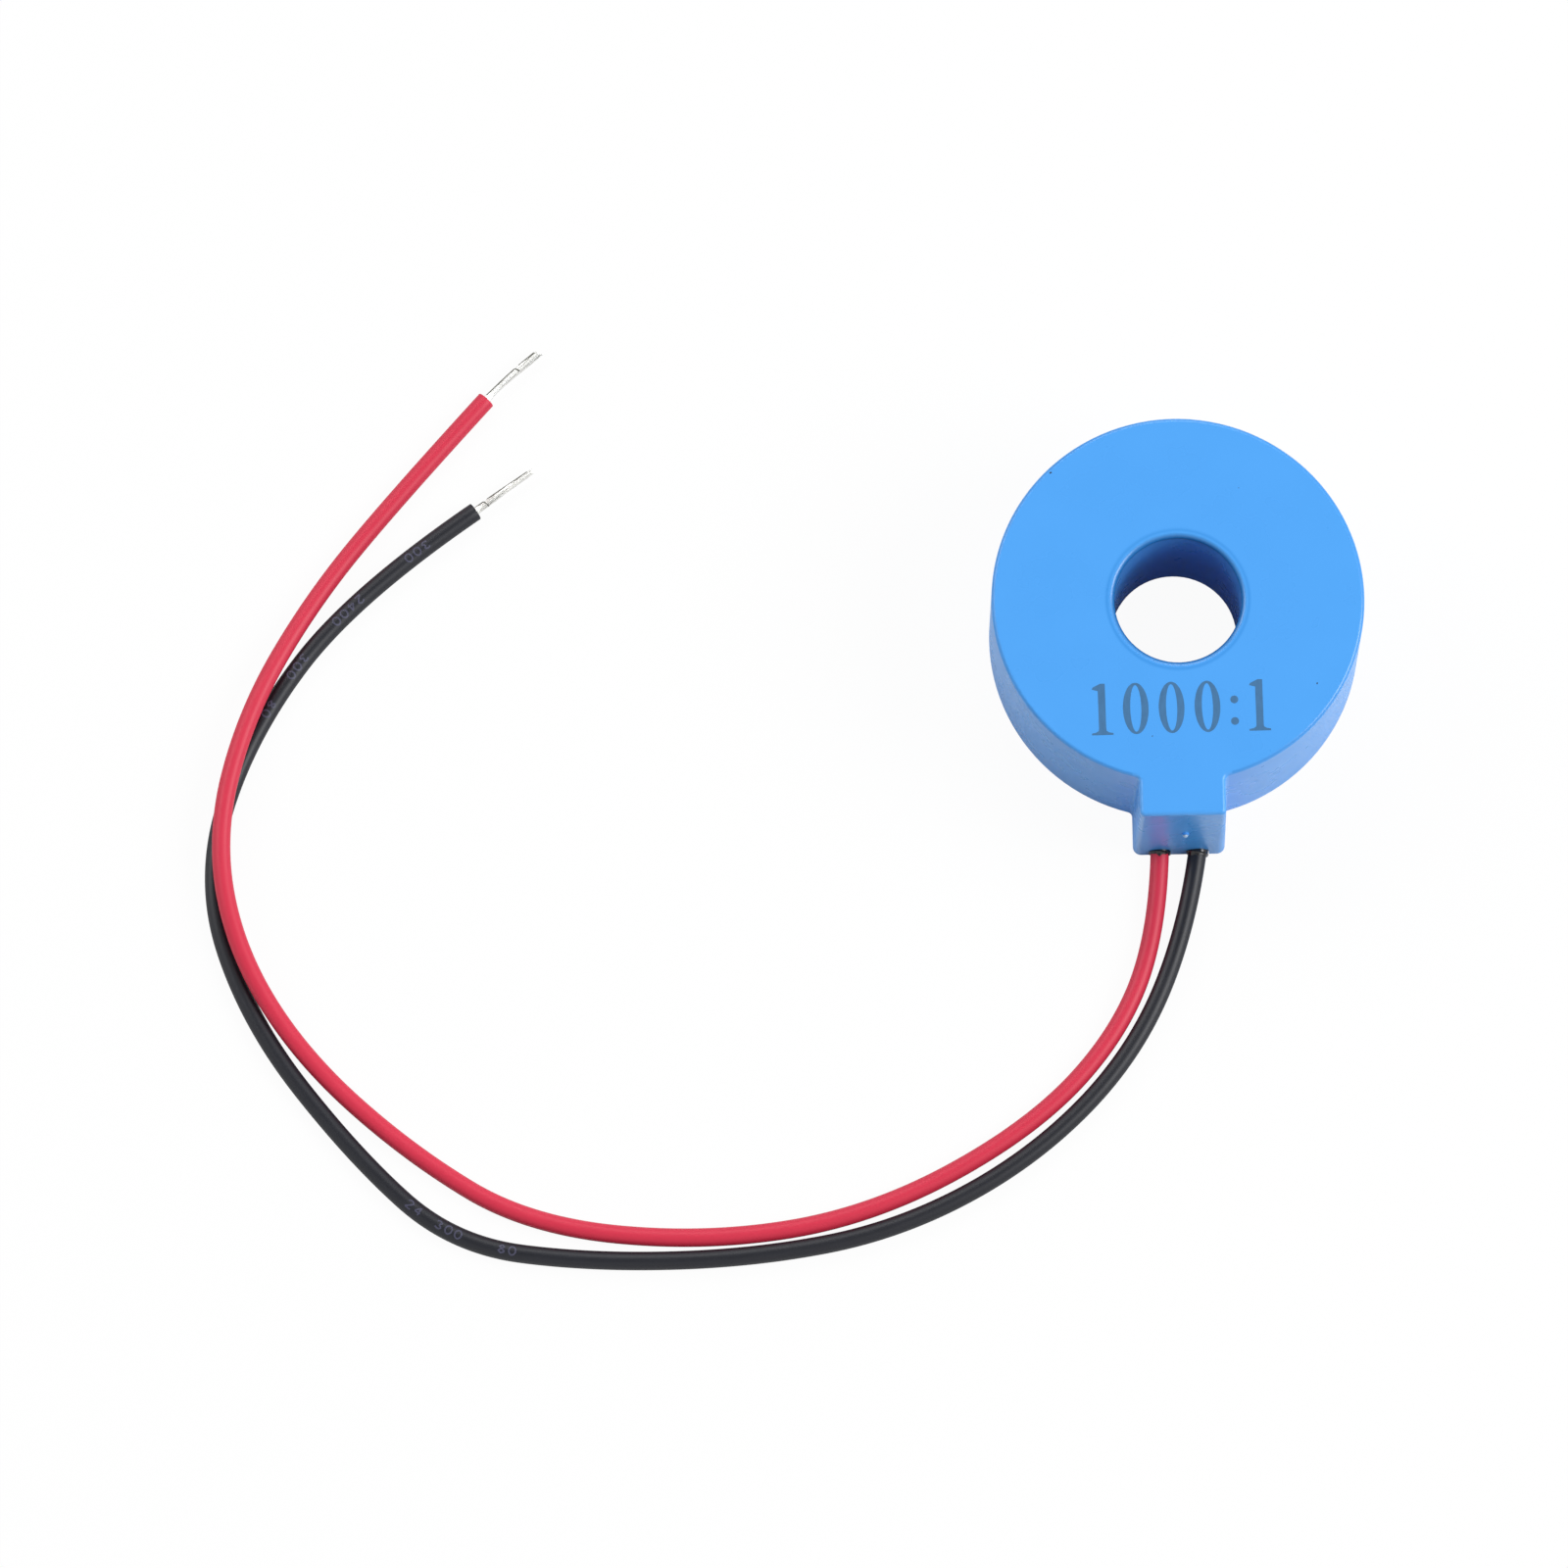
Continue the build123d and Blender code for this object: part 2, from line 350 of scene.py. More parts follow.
@dataclass(frozen=True)
class Finish:
    """A finish with a broad cloud of colour, fine grain, and a few specks.

    Colours are linear. Scales are cells per metre, or per girth where the pattern follows the UV map.
    """

    name: str
    colour: Colour
    dark: float = 0.95
    roughness: Pair = (0.3, 0.36)
    metallic: float = 0.0
    specular: float = 0.5
    coat: float = 0.0
    coat_roughness: float = 0.1
    mapping: Mapping = Mapping.OBJECT
    stretch: Triple = (1.0, 1.0, 1.0)
    cloud: float = 200.0
    fine: float = 4000.0
    bump: float = 0.1
    relief: float = 0.01 * MM
    speck_scale: float = 500.0
    speck_size: float = 0.1
    speck_rarity: float = 1.1
    speck_colour: Colour = (0.02, 0.03, 0.06)

    def pattern(self, tree: Tree) -> Socket:
        """The coordinates that the pattern is laid on."""
        source = tree.add("TexCoord").outputs[self.mapping.value]
        return tree.add("Mapping", {"Vector": source, "Scale": self.stretch}).outputs[0]

    def relief_height(self, tree: Tree, pattern: Socket, fine: Socket) -> Socket:
        """The height of the surface; a plain finish has only its fine grain."""
        return fine

    def tint(self, tree: Tree, pattern: Socket, colour: Socket) -> Socket:
        """The colour of the surface; a plain finish has only its cloud and specks."""
        return colour

    def material(self, effects: Effects) -> Material:
        """Build the material.

        Args:
            effects: the node groups that finishes share.

        Returns:
            The material.
        """
        material, tree = new_material(self.name)
        pattern = self.pattern(tree)
        grain = tree.add("Group", node_tree=effects.grain)
        tree.tree.links.new(pattern, grain.inputs["Vector"])
        grain.inputs["Cloud"].default_value = self.cloud
        grain.inputs["Fine"].default_value = self.fine
        colour = tree.blend(grain.outputs["Cloud"], shaded(self.colour, self.dark), rgba(self.colour))
        specks = tree.add("Group", node_tree=effects.specks)
        tree.tree.links.new(pattern, specks.inputs["Vector"])
        specks.inputs["Scale"].default_value = self.speck_scale
        specks.inputs["Size"].default_value = self.speck_size
        specks.inputs["Rarity"].default_value = self.speck_rarity
        colour = tree.blend(specks.outputs["Mask"], colour, rgba(self.speck_colour))
        height = self.relief_height(tree, pattern, grain.outputs["Height"])
        bump = tree.add("Bump", {"Strength": self.bump, "Distance": self.relief, "Height": height})
        shader = tree.add(
            "BsdfPrincipled",
            {
                "Base Color": self.tint(tree, pattern, colour),
                "Roughness": tree.between(grain.outputs["Cloud"], *self.roughness),
                "Metallic": self.metallic,
                "Specular IOR Level": self.specular,
                "Coat Weight": self.coat,
                "Coat Roughness": self.coat_roughness,
                "Normal": bump.outputs[0],
            },
        )
        tree.add("OutputMaterial", {"Surface": shader.outputs[0]})
        return material


@dataclass(frozen=True)
class TurnsFinish(Finish):
    """A finish with ridges that run out from the bore's axis, such as wire or tape wound on a ring, with
    painted shade in the grooves.
    """

    turns: int = 220
    # Painted shade: the colour that the grooves between the turns darken to.
    groove_shade: Colour = (0.12, 0.04, 0.01)

    def ridge(self, tree: Tree, pattern: Socket) -> Socket:
        """The ridges' height: |sin(turns x angle / 2)|, with the angle about the bore's axis."""
        place = tree.add("SeparateXYZ", {0: pattern}).outputs
        angle = tree.maths("ARCTAN2", place["Y"], place["X"])
        return tree.maths("ABSOLUTE", tree.maths("SINE", tree.maths("MULTIPLY", angle, self.turns / 2)))

    def relief_height(self, tree: Tree, pattern: Socket, fine: Socket) -> Socket:
        """The ridges with the fine grain on them."""
        return tree.maths("ADD", self.ridge(tree, pattern), tree.maths("MULTIPLY", fine, 0.1))

    def tint(self, tree: Tree, pattern: Socket, colour: Socket) -> Socket:
        """The colour, with painted shade darkening the grooves."""
        return tree.blend(self.ridge(tree, pattern), rgba(self.groove_shade), colour)


@dataclass(frozen=True)
class CaseFinish(Finish):
    """The case's finish: painted shade darkens its bore and mouth, and its edges have fine darker lines."""

    # Painted shade: the colour that the bore's wall darkens to towards its bottom.
    bore_painted_shade: Colour = (0.42, 0.52, 0.6)
    bore_edge: Pair = (4.6 * MM, 5.0 * MM)
    bore_height: Pair = (6.0 * MM, 13.6 * MM)
    # Painted shade on the inner part of the bore mouth's round.
    mouth_painted_shade: Colour = (0.15, 0.42, 0.5)
    mouth_edge: Pair = (4.72 * MM, 4.98 * MM)
    mouth_height: Pair = (11.8 * MM, 12.1 * MM)
    mouth_depth: float = 0.8
    # Fine darker lines round the mouth and along the ring's edge, in colour only.
    line_shade: Colour = (0.2, 0.62, 0.75)
    mouth_line: Triple = (5.15 * MM, 0.2 * MM, 0.5)
    edge_line: Triple = (13.36 * MM, 0.12 * MM, 0.6)
    tab_half: float = 3.6 * MM

    @staticmethod
    def darkened(tree: Tree, share: Socket, colour: Socket, shade: Colour) -> Socket:
        """A colour multiplied by a shade, as far as a share says."""
        given = {0: share, 6: colour, 7: rgba(shade)}
        return tree.add("Mix", given, data_type="RGBA", blend_type="MULTIPLY").outputs[2]

    @staticmethod
    def line(tree: Tree, radius: Socket, sizes: Triple) -> Socket:
        """The share of a fine ring of given place, half and depth: depth x (1 - |radius - place| / half)."""
        place, half, depth = sizes
        aside = tree.maths("ABSOLUTE", tree.maths("SUBTRACT", radius, place))
        return tree.ramp(aside, (0.0, half), (depth, 0.0))

    def tint(self, tree: Tree, pattern: Socket, colour: Socket) -> Socket:
        """The colour, with painted shade down the bore and in its mouth, and darker round the mouth and along
        the ring's edge.

        The shares of bore and mouth are inside(radius) x height(z), and the edge's line stops at the tab.

        Args:
            tree: the material's nodes.
            pattern: the coordinates, which are the object's own.
            colour: the plain colour.

        Returns:
            The finished colour.
        """
        place = tree.add("SeparateXYZ", {0: pattern}).outputs
        radius = tree.from_axis(place)
        # Painted shade down the bore: the deeper inside it, the darker.
        inside = tree.ramp(radius, self.bore_edge, (1.0, 0.0))
        deep = tree.ramp(place["Z"], self.bore_height, (1.0, 0.0))
        colour = self.darkened(tree, tree.maths("MULTIPLY", inside, deep), colour, self.bore_painted_shade)
        # Painted shade in the mouth: the inner part of its round is darker.
        lip = tree.ramp(radius, self.mouth_edge, (self.mouth_depth, 0.0))
        high = tree.ramp(place["Z"], self.mouth_height, (0.0, 1.0))
        colour = self.darkened(tree, tree.maths("MULTIPLY", lip, high), colour, self.mouth_painted_shade)
        # Fine darker lines round the mouth and along the ring's edge, which stop at the tab.
        beside = tree.maths("GREATER_THAN", tree.maths("ABSOLUTE", place["X"]), self.tab_half)
        away = tree.maths("MAXIMUM", beside, tree.maths("GREATER_THAN", place["Y"], 0.0))
        edge = tree.maths("MULTIPLY", away, self.line(tree, radius, self.edge_line))
        lines = tree.maths("ADD", edge, self.line(tree, radius, self.mouth_line))
        return self.darkened(tree, lines, colour, self.line_shade)


@dataclass(frozen=True)
class StripFinish(Finish):
    """A finish with fine concentric lines, such as strip wound into a ring."""

    pitch: float = 0.12 * MM

    def relief_height(self, tree: Tree, pattern: Socket, fine: Socket) -> Socket:
        """The lines' height: sin(2 pi x radius / pitch), with the grain added."""
        place = tree.add("SeparateXYZ", {0: pattern}).outputs
        radius = tree.from_axis(place)
        wave = tree.maths("SINE", tree.maths("MULTIPLY", radius, 2.0 * math.pi / self.pitch))
        return tree.maths("ADD", wave, fine)


CASE_PLASTIC = CaseFinish(
    "blue_case_plastic",
    colour=(0.072, 0.354, 0.86),
    dark=0.965,
    roughness=(0.24, 0.32),
    specular=0.5,
    cloud=260.0,
    fine=9000.0,
    bump=0.02,
    relief=0.02 * MM,
)
DIRT = Finish(
    "dark_dirt", colour=(0.012, 0.03, 0.07), dark=0.6, roughness=(0.5, 0.7), cloud=6000.0, fine=20000.0
)
# Stress-whitened plastic, made lighter still as a painted highlight on the gate's tip.
STUB_WHITE_AND_HIGHLIGHT = Finish(
    "whitened_plastic_and_highlight", colour=(0.5, 0.68, 0.88), dark=0.8, cloud=6000.0, fine=20000.0
)
MARK_INK = Finish(
    "grey_mark",
    colour=(0.055, 0.18, 0.37),
    dark=0.7,
    roughness=(0.45, 0.6),
    specular=0.3,
    stretch=(1.0, 0.3, 1.0),
    cloud=5000.0,
    fine=9000.0,
    bump=0.15,
    relief=0.02 * MM,
)
RESIN = Finish(
    "black_resin",
    colour=(0.011, 0.011, 0.014),
    dark=0.6,
    roughness=(0.12, 0.3),
    specular=0.5,
    cloud=700.0,
    fine=2500.0,
    bump=0.25,
    relief=0.04 * MM,
    speck_scale=420.0,
    speck_size=0.09,
    speck_rarity=0.9,
    speck_colour=(0.05, 0.05, 0.055),
)
RED_JACKET = Finish(
    "red_jacket",
    colour=(0.64, 0.029, 0.067),
    dark=0.93,
    roughness=(0.42, 0.5),
    specular=0.34,
    mapping=Mapping.UV,
    stretch=(3.0, 0.6, 1.0),
    cloud=3.0,
    fine=24.0,
    bump=0.04,
    relief=0.02 * MM,
)
BLACK_JACKET = Finish(
    "black_jacket",
    colour=(0.01, 0.011, 0.017),
    dark=0.75,
    roughness=(0.4, 0.5),
    specular=0.38,
    mapping=Mapping.UV,
    stretch=(3.0, 0.6, 1.0),
    cloud=3.0,
    fine=24.0,
    bump=0.08,
    relief=0.02 * MM,
)
TINNED_COPPER = Finish(
    "tinned_copper",
    colour=(0.8, 0.8, 0.77),
    dark=0.85,
    roughness=(0.24, 0.36),
    metallic=1.0,
    mapping=Mapping.UV,
    stretch=(1.0, 0.25, 1.0),
    cloud=2.5,
    fine=14.0,
    bump=0.2,
    relief=0.005 * MM,
)
JACKET_INK = Finish(
    "jacket_print",
    colour=(0.085, 0.085, 0.14),
    dark=0.5,
    roughness=(0.4, 0.5),
    specular=0.3,
    cloud=4000.0,
    fine=9000.0,
)
# Painted shade: the dark colour of the strand that stands for the bundle's shadowed side.
SHADED_STRAND_COPPER = Finish(
    "painted_shade_strand",
    colour=(0.2, 0.2, 0.18),
    dark=0.5,
    roughness=(0.4, 0.55),
    metallic=1.0,
    mapping=Mapping.UV,
    stretch=(1.0, 0.25, 1.0),
    cloud=2.5,
    fine=14.0,
)
NODE_TINNED = Finish(
    "tinned_conductor", colour=(0.82, 0.82, 0.79), dark=0.86, roughness=(0.18, 0.3), metallic=1.0
)
SOLDER = Finish(
    "solder", colour=(0.62, 0.63, 0.64), dark=0.8, roughness=(0.2, 0.4), metallic=1.0, cloud=1500.0
)
SLEEVE = Finish("clear_sleeve", colour=(0.62, 0.6, 0.52), dark=0.9, roughness=(0.2, 0.3), cloud=900.0)
CORE_BOX = Finish("core_box_nylon", colour=(0.72, 0.7, 0.62), dark=0.93, roughness=(0.4, 0.5), cloud=300.0)
CORE_STRIP = StripFinish(
    "core_strip", colour=(0.5, 0.5, 0.49), dark=0.85, metallic=1.0, roughness=(0.25, 0.38), relief=0.01 * MM
)
ENAMELLED = TurnsFinish(
    "enamelled_copper",
    colour=(0.5, 0.17, 0.05),
    dark=0.85,
    roughness=(0.15, 0.25),
    coat=0.6,
    bump=0.6,
    relief=0.04 * MM,
)
TAPE = TurnsFinish(
    "yellow_tape",
    colour=(0.68, 0.46, 0.07),
    dark=0.9,
    roughness=(0.2, 0.3),
    relief=0.03 * MM,
    bump=0.3,
    turns=18,
    groove_shade=(0.5, 0.33, 0.05),
)


# ---- Sizes read from the frame ----
@dataclass(frozen=True)
class CaseFrame:
    """Places on the case, read from its CAD node."""

    face: float
    front: float
    radius: float

    @classmethod
    def read(cls, tab_stand: float = 2.7 * MM) -> "CaseFrame":
        """Read the closed face's height, the place of the tab's front, and the ring's radius.

        Args:
            tab_stand: how far the tab's front stands out from the ring.

        Returns:
            The places.
        """
        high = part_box("case_shell")[1]
        return cls(face=high.z, front=-high.x - tab_stand, radius=high.x)


# ---- Studio ----
@dataclass
class Studio:
    """Camera, lamps, world and floor."""

    camera_place: Place = (-0.032967, -0.238931, 1.045635)
    camera_target: Place = (-0.028699, -0.010414, 0.0)
    lens: float = 336.6
    sensor: float = 36.0
    clip: Pair = (0.05, 20.0)
    sky: float = 0.33
    ceiling: float = 0.15
    ceiling_edge: Pair = (0.78, 0.95)
    floor_size: float = 4.0
    floor_drop: float = 0.00002
    floor_bounce: Colour = (0.75, 0.75, 0.76)
    floor_white: Colour = (0.85, 0.85, 0.85)
    shadow_share: float = 0.05

    def place_camera(self) -> None:
        """Make the camera, looking at its target with its own X level."""
        data = bpy.data.cameras.new("camera")
        data.lens, data.sensor_width = self.lens, self.sensor
        data.clip_start, data.clip_end = self.clip
        camera = bpy.data.objects.new("camera", data)
        camera.location = self.camera_place
        aim = Vector(self.camera_target) - Vector(self.camera_place)
        camera.rotation_mode = "QUATERNION"
        camera.rotation_quaternion = aim.to_track_quat("-Z", "Y")
        bpy.context.scene.collection.objects.link(camera)
        bpy.context.scene.camera = camera

    @staticmethod
    def lamp(name: str, azimuth: float, height: float, distance: float, size: float, watts: float) -> None:
        """Add a square soft lamp that faces the case.

        Args:
            name: the lamp's name.
            azimuth: its bearing from +X towards +Y, in degrees.
            height: its angle above the floor, in degrees.
            distance: how far it is from the origin.
            size: the length of its side.
            watts: its power.
        """
        data = bpy.data.lights.new(name, "AREA")
        data.shape, data.size, data.energy = "SQUARE", size, watts
        lamp = bpy.data.objects.new(name, data)
        bearing, rise = math.radians(azimuth), math.radians(height)
        level = math.cos(rise)
        out = Vector((math.cos(bearing) * level, math.sin(bearing) * level, math.sin(rise)))
        lamp.location = out * distance
        lamp.rotation_mode = "QUATERNION"
        lamp.rotation_quaternion = (-out).to_track_quat("-Z", "Y")
        bpy.context.scene.collection.objects.link(lamp)

    @staticmethod
    def seen(tree: Tree) -> Socket:
        """1 for rays from the camera, from gloss and through glass, and 0 for the rest."""
        path = tree.add("LightPath").outputs
        either = tree.maths("MAXIMUM", path["Is Camera Ray"], path["Is Glossy Ray"])
        return tree.maths("MAXIMUM", either, path["Is Transmission Ray"])

    def light(self) -> None:
        """Make the lamps and the world, which is seen white all round and dark straight up."""
        world = bpy.data.worlds.new("world")
        world.use_nodes = True
        tree = Tree(world.node_tree)
        rise = tree.add("SeparateXYZ", {0: tree.add("TexCoord").outputs["Generated"]}).outputs["Z"]
        shown = tree.ramp(rise, self.ceiling_edge, (1.0, self.ceiling))
        strength = tree.add("Mix", {0: self.seen(tree), 2: self.sky, 3: shown}).outputs[0]
        backdrop = tree.add("Background", {"Color": (1.0, 1.0, 1.0, 1.0), "Strength": strength})
        tree.add("OutputWorld", {"Surface": backdrop.outputs[0]})
        bpy.context.scene.world = world
        self.lamp("right_softbox", azimuth=-8.0, height=42.0, distance=1.2, size=0.7, watts=11.5)
        self.lamp("left_softbox", azimuth=152.0, height=38.0, distance=1.2, size=0.6, watts=4.6)
        self.lamp("back_softbox", azimuth=92.0, height=46.0, distance=1.3, size=0.6, watts=4.0)

    def lay_floor(self) -> None:
        """Make the floor: white with the object's soft shadow where it is seen, grey where it bounces light.

        Gloss on the object shows the floor with its whole shadow, and the camera a paler one.
        """
        half, low = self.floor_size / 2, -self.floor_drop
        corners = [(-half, -half, low), (half, -half, low), (half, half, low), (-half, half, low)]
        mesh = bpy.data.meshes.new("floor")
        mesh.from_pydata(corners, [], [(0, 1, 2, 3)])
        material, tree = new_material("floor_white")
        bounce = tree.add("BsdfDiffuse", {"Color": rgba(self.floor_bounce)})
        white = tree.add("BsdfDiffuse", {"Color": rgba(self.floor_white)})
        glow = tree.add("Emission", {"Color": (1.0, 1.0, 1.0, 1.0), "Strength": 1.0})
        direct = tree.add("LightPath").outputs["Is Camera Ray"]
        share = tree.between(direct, 1.0, self.shadow_share)
        shown = tree.add("MixShader", {0: share, 1: glow.outputs[0], 2: white.outputs[0]})
        surface = tree.add("MixShader", {0: self.seen(tree), 1: bounce.outputs[0], 2: shown.outputs[0]})
        tree.add("OutputMaterial", {"Surface": surface.outputs[0]})
        mesh.materials.append(material)
        floor = bpy.data.objects.new("floor", mesh)
        bpy.context.scene.collection.objects.link(floor)


# ---- Leads ----
class Opening(Enum):
    """Where the strands of a bare end stand furthest apart."""

    TIP = "tip"
    MIDDLE = "middle"

    def share(self, along: np.ndarray) -> np.ndarray:
        """How far the strands have opened, from 0 to 1.

        At the tip: 3 t^2 - 2 t^3. In the middle: sin^2 of pi x t^0.8.

        Args:
            along: places along the bare end, from 0 at the jacket to 1 at the tip.

        Returns:
            The share at each place.
        """
        if self is Opening.TIP:
            return along**2 * (3.0 - 2.0 * along)
        return np.sin(math.pi * along**0.8) ** 2


@dataclass
class Lead:
    """A lead of stranded hook-up wire: its jacket, and the bare strands at its cut end.

    Its start is a point of the frame in millimetres. The points of its route and its tip are given as
    placed() takes them.
    """

    name: str
    finish: Finish
    start: Place
    route: list[Place]
    tip: Place
    length: float
    case: CaseFrame
    seed: int
    radius: float = 0.675 * MM
    lift: float = 0.025 * MM
    crossing_play: float = 0.15 * MM
    exit_height: float = 0.95 * MM
    curve_steps: int = 24
    heading_steps: int = 8
    around: int = 48
    lip: float = 0.06 * MM
    lip_steps: int = 5
    wall: float = 0.34 * MM
    hollow: float = 0.5 * MM
    opening: Opening = Opening.TIP
    bare_steps: int = 90
    bare_start: float = 0.8
    bare_knee: float = 0.35
    jacket_pitch: float = 0.24 * MM
    pitch_radius: Pair = (0.135 * MM, 0.19 * MM)
    hold: float = 0.5 * MM
    tin_radius: float = 0.165 * MM
    tin_thinning: float = 0.75
    tin_end: float = 0.3
    tin_short: int = 8
    strands: int = 11
    strand_radius: float = 0.062 * MM
    strand_lay: float = 13.0 * MM
    strand_around: int = 12
    strand_end: float = 0.7
    looseness: Pair = (0.7, 1.35)
    turn_play: float = 0.1
    cut_scatter: float = 0.35 * MM
    stray_radius: float = 0.055 * MM
    stray_end: float = 0.5
    stray_angle: float = math.radians(25.0)
    stray_short: int = 6
    knot: float = 0.68
    knot_length: float = 0.55 * MM
    line: np.ndarray = field(init=False)

    def placed(self, point: Place) -> Place:
        """A route's point in the frame: across, in front of the tab, and its share of a crossing's rise.

        Args:
            point: the route's point, its lengths in millimetres.

        Returns:
            The point in metres.
        """
        across, forward, rise = point
        over = 2.0 * self.radius + self.crossing_play
        return (across * MM, self.case.front - forward * MM, self.radius + self.lift + rise * over)

    def spline_line(self) -> np.ndarray:
        """Points read from the open NURBS spline that has the route's points as its control points."""
        controls = [tuple(value * MM for value in self.start), *map(self.placed, self.route)]
        curve = bpy.data.curves.new(self.name + "_route", "CURVE")
        curve.dimensions = "3D"
        curve.resolution_u = self.curve_steps
        spline = curve.splines.new("NURBS")
        spline.points.add(len(controls) - 1)
        homogeneous = np.concatenate([np.array(controls), np.ones((len(controls), 1))], axis=1)
        spline.points.foreach_set("co", homogeneous.ravel())
        spline.order_u = 3
        spline.use_endpoint_u = True
        holder = bpy.data.objects.new(self.name + "_route", curve)
        mesh = bpy.data.meshes.new_from_object(holder)
        points = np.empty(len(mesh.vertices) * 3)
        mesh.vertices.foreach_get("co", points)
        bpy.data.objects.remove(holder)
        bpy.data.curves.remove(curve)
        bpy.data.meshes.remove(mesh)
        return points.reshape(-1, 3)

    def crossing(self) -> tuple[Place, Place]:
        """The line's point in the plane of the tab's front, and its heading out of the case."""
        first = np.argmax(self.line[:, 1] <= self.case.front)
        return tuple(self.line[first]), tuple(self.line[self.heading_steps] - self.line[0])

    def jacket(self, material: Material) -> Piece:
        """The jacket: a tube along the line, whose cut end has a rounded lip and a hollow round the strands.

        The lip's profile is (lip x (1 - sin a), radius - lip x (1 - cos a)). The hollow's wall follows it.
        """
        turn = np.linspace(0.0, math.pi / 2.0, self.lip_steps)
        bore = self.radius - self.wall
        hollow = [bore + self.lip / 2.0, bore, bore]
        inset = np.concatenate([self.lip * (1.0 - np.sin(turn)), [0.0, 0.0, self.hollow]])
        lip = np.concatenate([self.radius - self.lip * (1.0 - np.cos(turn)), hollow])
        axes = path_axes(self.line)
        end = self.line[-1] - inset[:, None] * axes[0][-1]
        centres = np.concatenate([self.line[:-1], end])
        axes = tuple(np.concatenate([axis[:-1], np.repeat(axis[-1:], len(inset), axis=0)]) for axis in axes)
        radii = np.concatenate([np.full(len(self.line) - 1, self.radius), lip])
        skin = tube(centres, radii, axes, self.around)
        return make_piece(self.name + "_jacket", skin, material)

    def bare_line(self) -> tuple[np.ndarray, np.ndarray, np.ndarray]:
        """The middle of the bare strands: a curve that leaves the jacket in line and ends at the tip.

        P(t) = (1 - t)^2 x start + 2 t (1 - t) x knee + t^2 x end.

        Returns:
            The curve's points, their shares of its length, and the lengths from its start.
        """
        end = np.array(self.placed(self.tip))
        along = unit(self.line[-1] - self.line[-2])
        start = self.line[-1] - self.bare_start * self.hollow * along
        knee = self.line[-1] + self.bare_knee * np.linalg.norm(end - self.line[-1]) * along
        share = np.linspace(0.0, 1.0, self.bare_steps)
        t = share[:, None]
        axis = (1.0 - t) ** 2 * start + 2.0 * t * (1.0 - t) * knee + t**2 * end
        return axis, share, share * np.linalg.norm(np.diff(axis, axis=0), axis=1).sum()

    def held(self, run: np.ndarray) -> np.ndarray:
        """How far the jacket still holds the strands apart: exp(-s / hold), with s counted from its end."""
        return np.exp(-np.maximum(run - self.hollow, 0.0) / self.hold)

    def bare_strands(self, material: Material) -> Piece:
        """The strands, wound about a core that tin has run through, and looser towards their cut ends.

        A strand's line is axis(s) + spread(s) x (cos turn(s) x beside(s) + sin turn(s) x above(s)). Its
        spread is low + (high x loose - low) x opening(s) + (jacket's pitch - low) x held(s).
        """
        draws = np.random.default_rng(self.seed)
        axis, share, run = self.bare_line()
        _, beside, above = path_axes(axis)
        low, high = self.pitch_radius
        held = self.held(run)
        thinning = np.linspace(1.0, self.tin_thinning, self.bare_steps)
        thinning[0] = self.tin_end
        core = axis[: -self.tin_short]
        pieces = [tube(core, self.tin_radius * thinning[: len(core)], path_axes(core), self.strand_around)]
        for number in range(self.strands):
            reach = high * draws.uniform(*self.looseness) - low
            spread = low + reach * self.opening.share(share) + (self.jacket_pitch - low) * held
            turn = 2.0 * math.pi * (run / self.strand_lay + number / self.strands)
            turn += draws.uniform(-self.turn_play, self.turn_play)
            ray = np.cos(turn)[:, None] * beside + np.sin(turn)[:, None] * above
            kept = self.bare_steps - int(self.bare_steps * draws.uniform(0.0, self.cut_scatter) / run[-1])
            line = (axis + spread[:, None] * ray)[:kept]
            radii = np.full(kept, self.strand_radius)
            radii[[0, -1]] = self.strand_end * self.strand_radius
            pieces.append(tube(line, radii, path_axes(line), self.strand_around))
        return make_piece(self.name + "_strands", merged(pieces), material)

    def stray_strand(self, material: Material) -> Piece:
        """A darker strand, painted shade along the bundle's side that faces away from the loop, with one full
        turn as a knot.

        P(s) = axis(s) + spread(s) x (cos turn(s) x side + sin turn(s) x up), where turn is the side's angle
        plus 2 pi x the smooth step of (s - knot) / knot length.
        """
        axis, share, run = self.bare_line()
        along = unit(np.gradient(axis, axis=0))
        side = unit(np.cross((0.0, 0.0, 1.0), along))
        step = np.clip((share - self.knot) * run[-1] / self.knot_length + 0.5, 0.0, 1.0)
        turn = self.stray_angle + 2.0 * math.pi * step**2 * (3.0 - 2.0 * step)
        low, high = self.pitch_radius
        near = low + self.strand_radius
        spread = near + (high - low) * self.opening.share(share) + (self.jacket_pitch - near) * self.held(run)
        ray = np.cos(turn)[:, None] * side + np.sin(turn)[:, None] * np.cross(along, side)
        line = (axis + spread[:, None] * ray)[: -self.stray_short]
        radii = np.full(len(line), self.stray_radius)
        radii[[0, -1]] = self.stray_end * self.stray_radius
        strand = tube(line, radii, path_axes(line), self.strand_around)
        return make_piece(self.name + "_stray_strand", strand, material)

    def build(self, effects: Effects, tin: Material, shade_strand: Material) -> None:
        """Args:
            effects: the node groups that finishes share.
            tin: the strands' material.
            shade_strand: the stray strand's material.
        """
        self.line = self.spline_line()
        jacket = self.jacket(self.finish.material(effects))
        strands = self.bare_strands(tin)
        stray = self.stray_strand(shade_strand)
        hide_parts(self.name + "_lead")
        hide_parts(self.name + "_bare_end")


